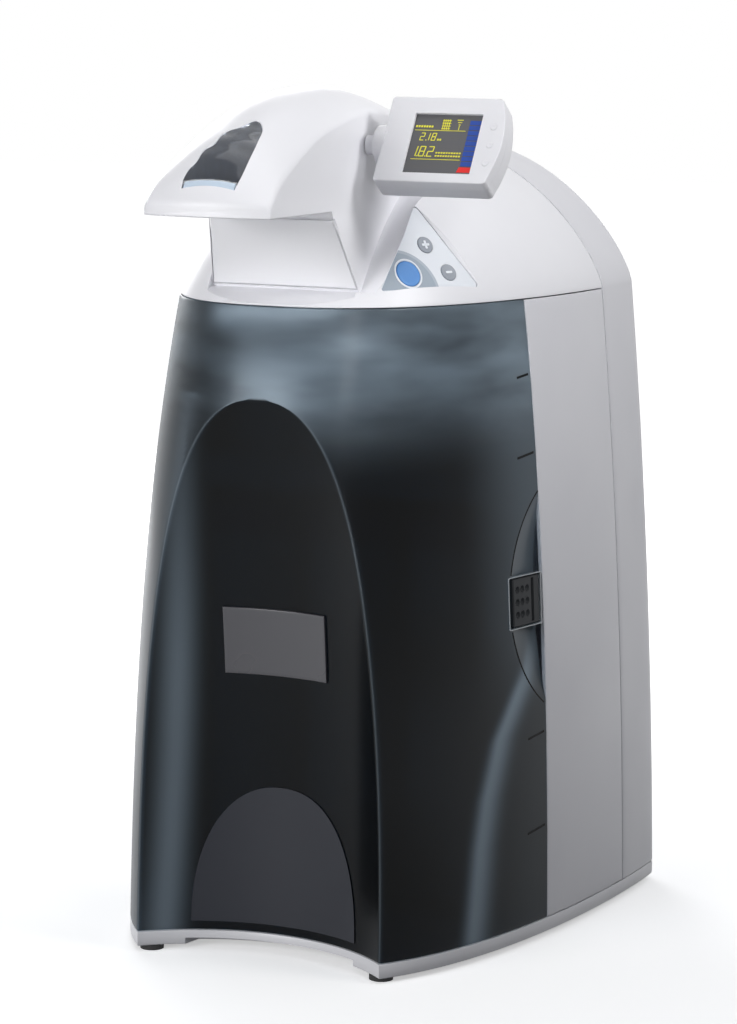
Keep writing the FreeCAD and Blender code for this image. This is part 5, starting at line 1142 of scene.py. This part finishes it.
print_turn = np.linspace(0, 2 * math.pi, 241)[:-1]
print_way = circle(print_turn)
print_edge = print_reach(print_way, print_radius)
piece("key_pad_print", *hoop(band_rings(np.full(240, ring_inside), print_edge, print_way, 0.06)), pad_tone,
      "chassis", "pad_grey")
border_edge = print_reach(print_way, border_radius)
shown = border_edge - print_edge > 0.05
first_shown = int(np.argmax(shown & ~np.roll(shown, 1)))
order = (first_shown + np.arange(int(shown.sum()))) % 240
piece("key_pad_print_border", *stacked(band_rings(print_edge[order], border_edge[order], print_way[order], 0.05)),
      pad_line, "chassis", "pad_grey")

key_finish = (0.45, 0.8, 0.008, 0.05, 20.0)
key_blue = moulded("moulded key, blue", "#4886c8", "#427fc2", *key_finish)
key_ring_white = moulded("moulded key ring, white", "#e6eaf0", "#dfe4ea", *key_finish)
key_grey = moulded("moulded key, grey", "#8f959e", "#878d96", *key_finish)
for name, (u, v, radius) in pad_keys.items():
    profile = [(-8.0, radius), (0.15, radius), (0.55, radius - 0.12), (0.82, radius - 0.5), (0.9, radius - 1.0),
               (0.78, radius * 0.7), (0.66, radius * 0.35), (0.62, radius * 0.08)]
    finish, slot = (key_blue, "key_blue") if name == "dispense_key" else (key_grey, "key_grey")
    piece(name + "_cap", *stacked(turned(profile, (u, v), pad_frame, 72)), finish, name.replace("_key", "_button"),
          slot, [name])
collar = [(-0.5, ring_inside), (0.35, ring_inside), (0.5, 10.8), (0.5, 11.9), (0.3, 12.15), (-0.5, 12.15)]
piece("dispense_key_ring", *hoop(turned(collar, blue_key, pad_frame, 72)), key_ring_white, "chassis", "pad_grey")
for sign, bars in (("plus", [(6.6, 1.9), (1.9, 6.6)]), ("minus", [(5.6, 1.7)])):
    strokes = [extrusion(round_ring(wide, tall, 0.5, 4) + pad_keys[sign + "_key"][:2], 0.4, 1.0, pad_frame)
               for wide, tall in bars]
    piece(sign + "_sign", *joined(strokes), key_ring_white, sign + "_button", "key_grey")


# ---- Parts inside and at the back ----
# Steel sheets, pumps, cartridges, boards and connectors keep their built shapes and get their own finishes.
def metal(name, pale, deep, rough, line_mm):
    """Rolled or turned metal: fine lines along Z that vary the gloss."""
    material, tree, place = blank(name)
    stretch = add(tree, "Mapping", {"Vector": place, "Scale": (1000 / line_mm, 1000 / line_mm, 12.0)})
    lines = noise(tree, stretch, 1.0, 3.0)
    shine = add(tree, "MapRange", {0: lines, 3: rough - 0.08, 4: rough + 0.1})
    bump = add(tree, "Bump", {"Strength": 0.2, "Distance": 0.0001, "Height": lines})
    return finished(material, add(tree, "BsdfPrincipled", {
        "Base Color": two_tone(tree, pale, deep, lines), "Metallic": 1.0, "Roughness": shine, "Normal": bump}))


finishes = {
    "cover_white": white_abs,
    "smoke_door": door_smoke,
    "smoke_window": window_smoke,
    "rubber_dark": moulded("moulded rubber, black", "#1b1b1c", "#232324", 0.7, 1.5, 0.05),
    "plate_dark": plate_dark,
    "pad_grey": pad_film,
    "key_blue": key_blue,
    "key_grey": key_grey,
    "bezel_white": white_abs,
    "lcd_grey": screen_grey,
    "board_green": moulded("glass epoxy board, green", "#1d5a33", "#174a2a", 0.4, 2.5, 0.02),
    "steel": metal("stainless steel, brushed", "#b9babd", "#9d9ea2", 0.32, 0.4),
    "steel_painted": moulded("steel sheet, powder coated", "#c9cccf", "#bfc2c6", 0.5, 1.1, 0.05),
    "clear": frosted,
    "cartridge_white": moulded("moulded polypropylene, natural white", "#dfe3e6", "#d2d7db", 0.42, 1.4, 0.02),
    "cartridge_blue": moulded("moulded polypropylene, blue", "#2c5d9b", "#25528c", 0.4, 1.4, 0.02),
    "black_plastic": moulded("moulded nylon, black satin", "#202225", "#1a1c1f", 0.45, 1.0, 0.02),
    "tube_clear": moulded("polyethylene hose, milky", "#d5dfe6", "#c8d4dc", 0.28, 4.0, 0.01, 0.3),
    "grey_plastic": moulded("moulded nylon, grey", "#85898f", "#7b7f85", 0.42, 1.0, 0.02),
    "brass": metal("turned brass", "#b79b5e", "#a68a4e", 0.3, 0.5),
}
slots = {part["node"]: part["material_slot"] for part in frame["record"]["subparts"]}
for name, node in frame["nodes"].items():
    node.data.materials.clear()
    node.data.materials.append(finishes[slots[name]])
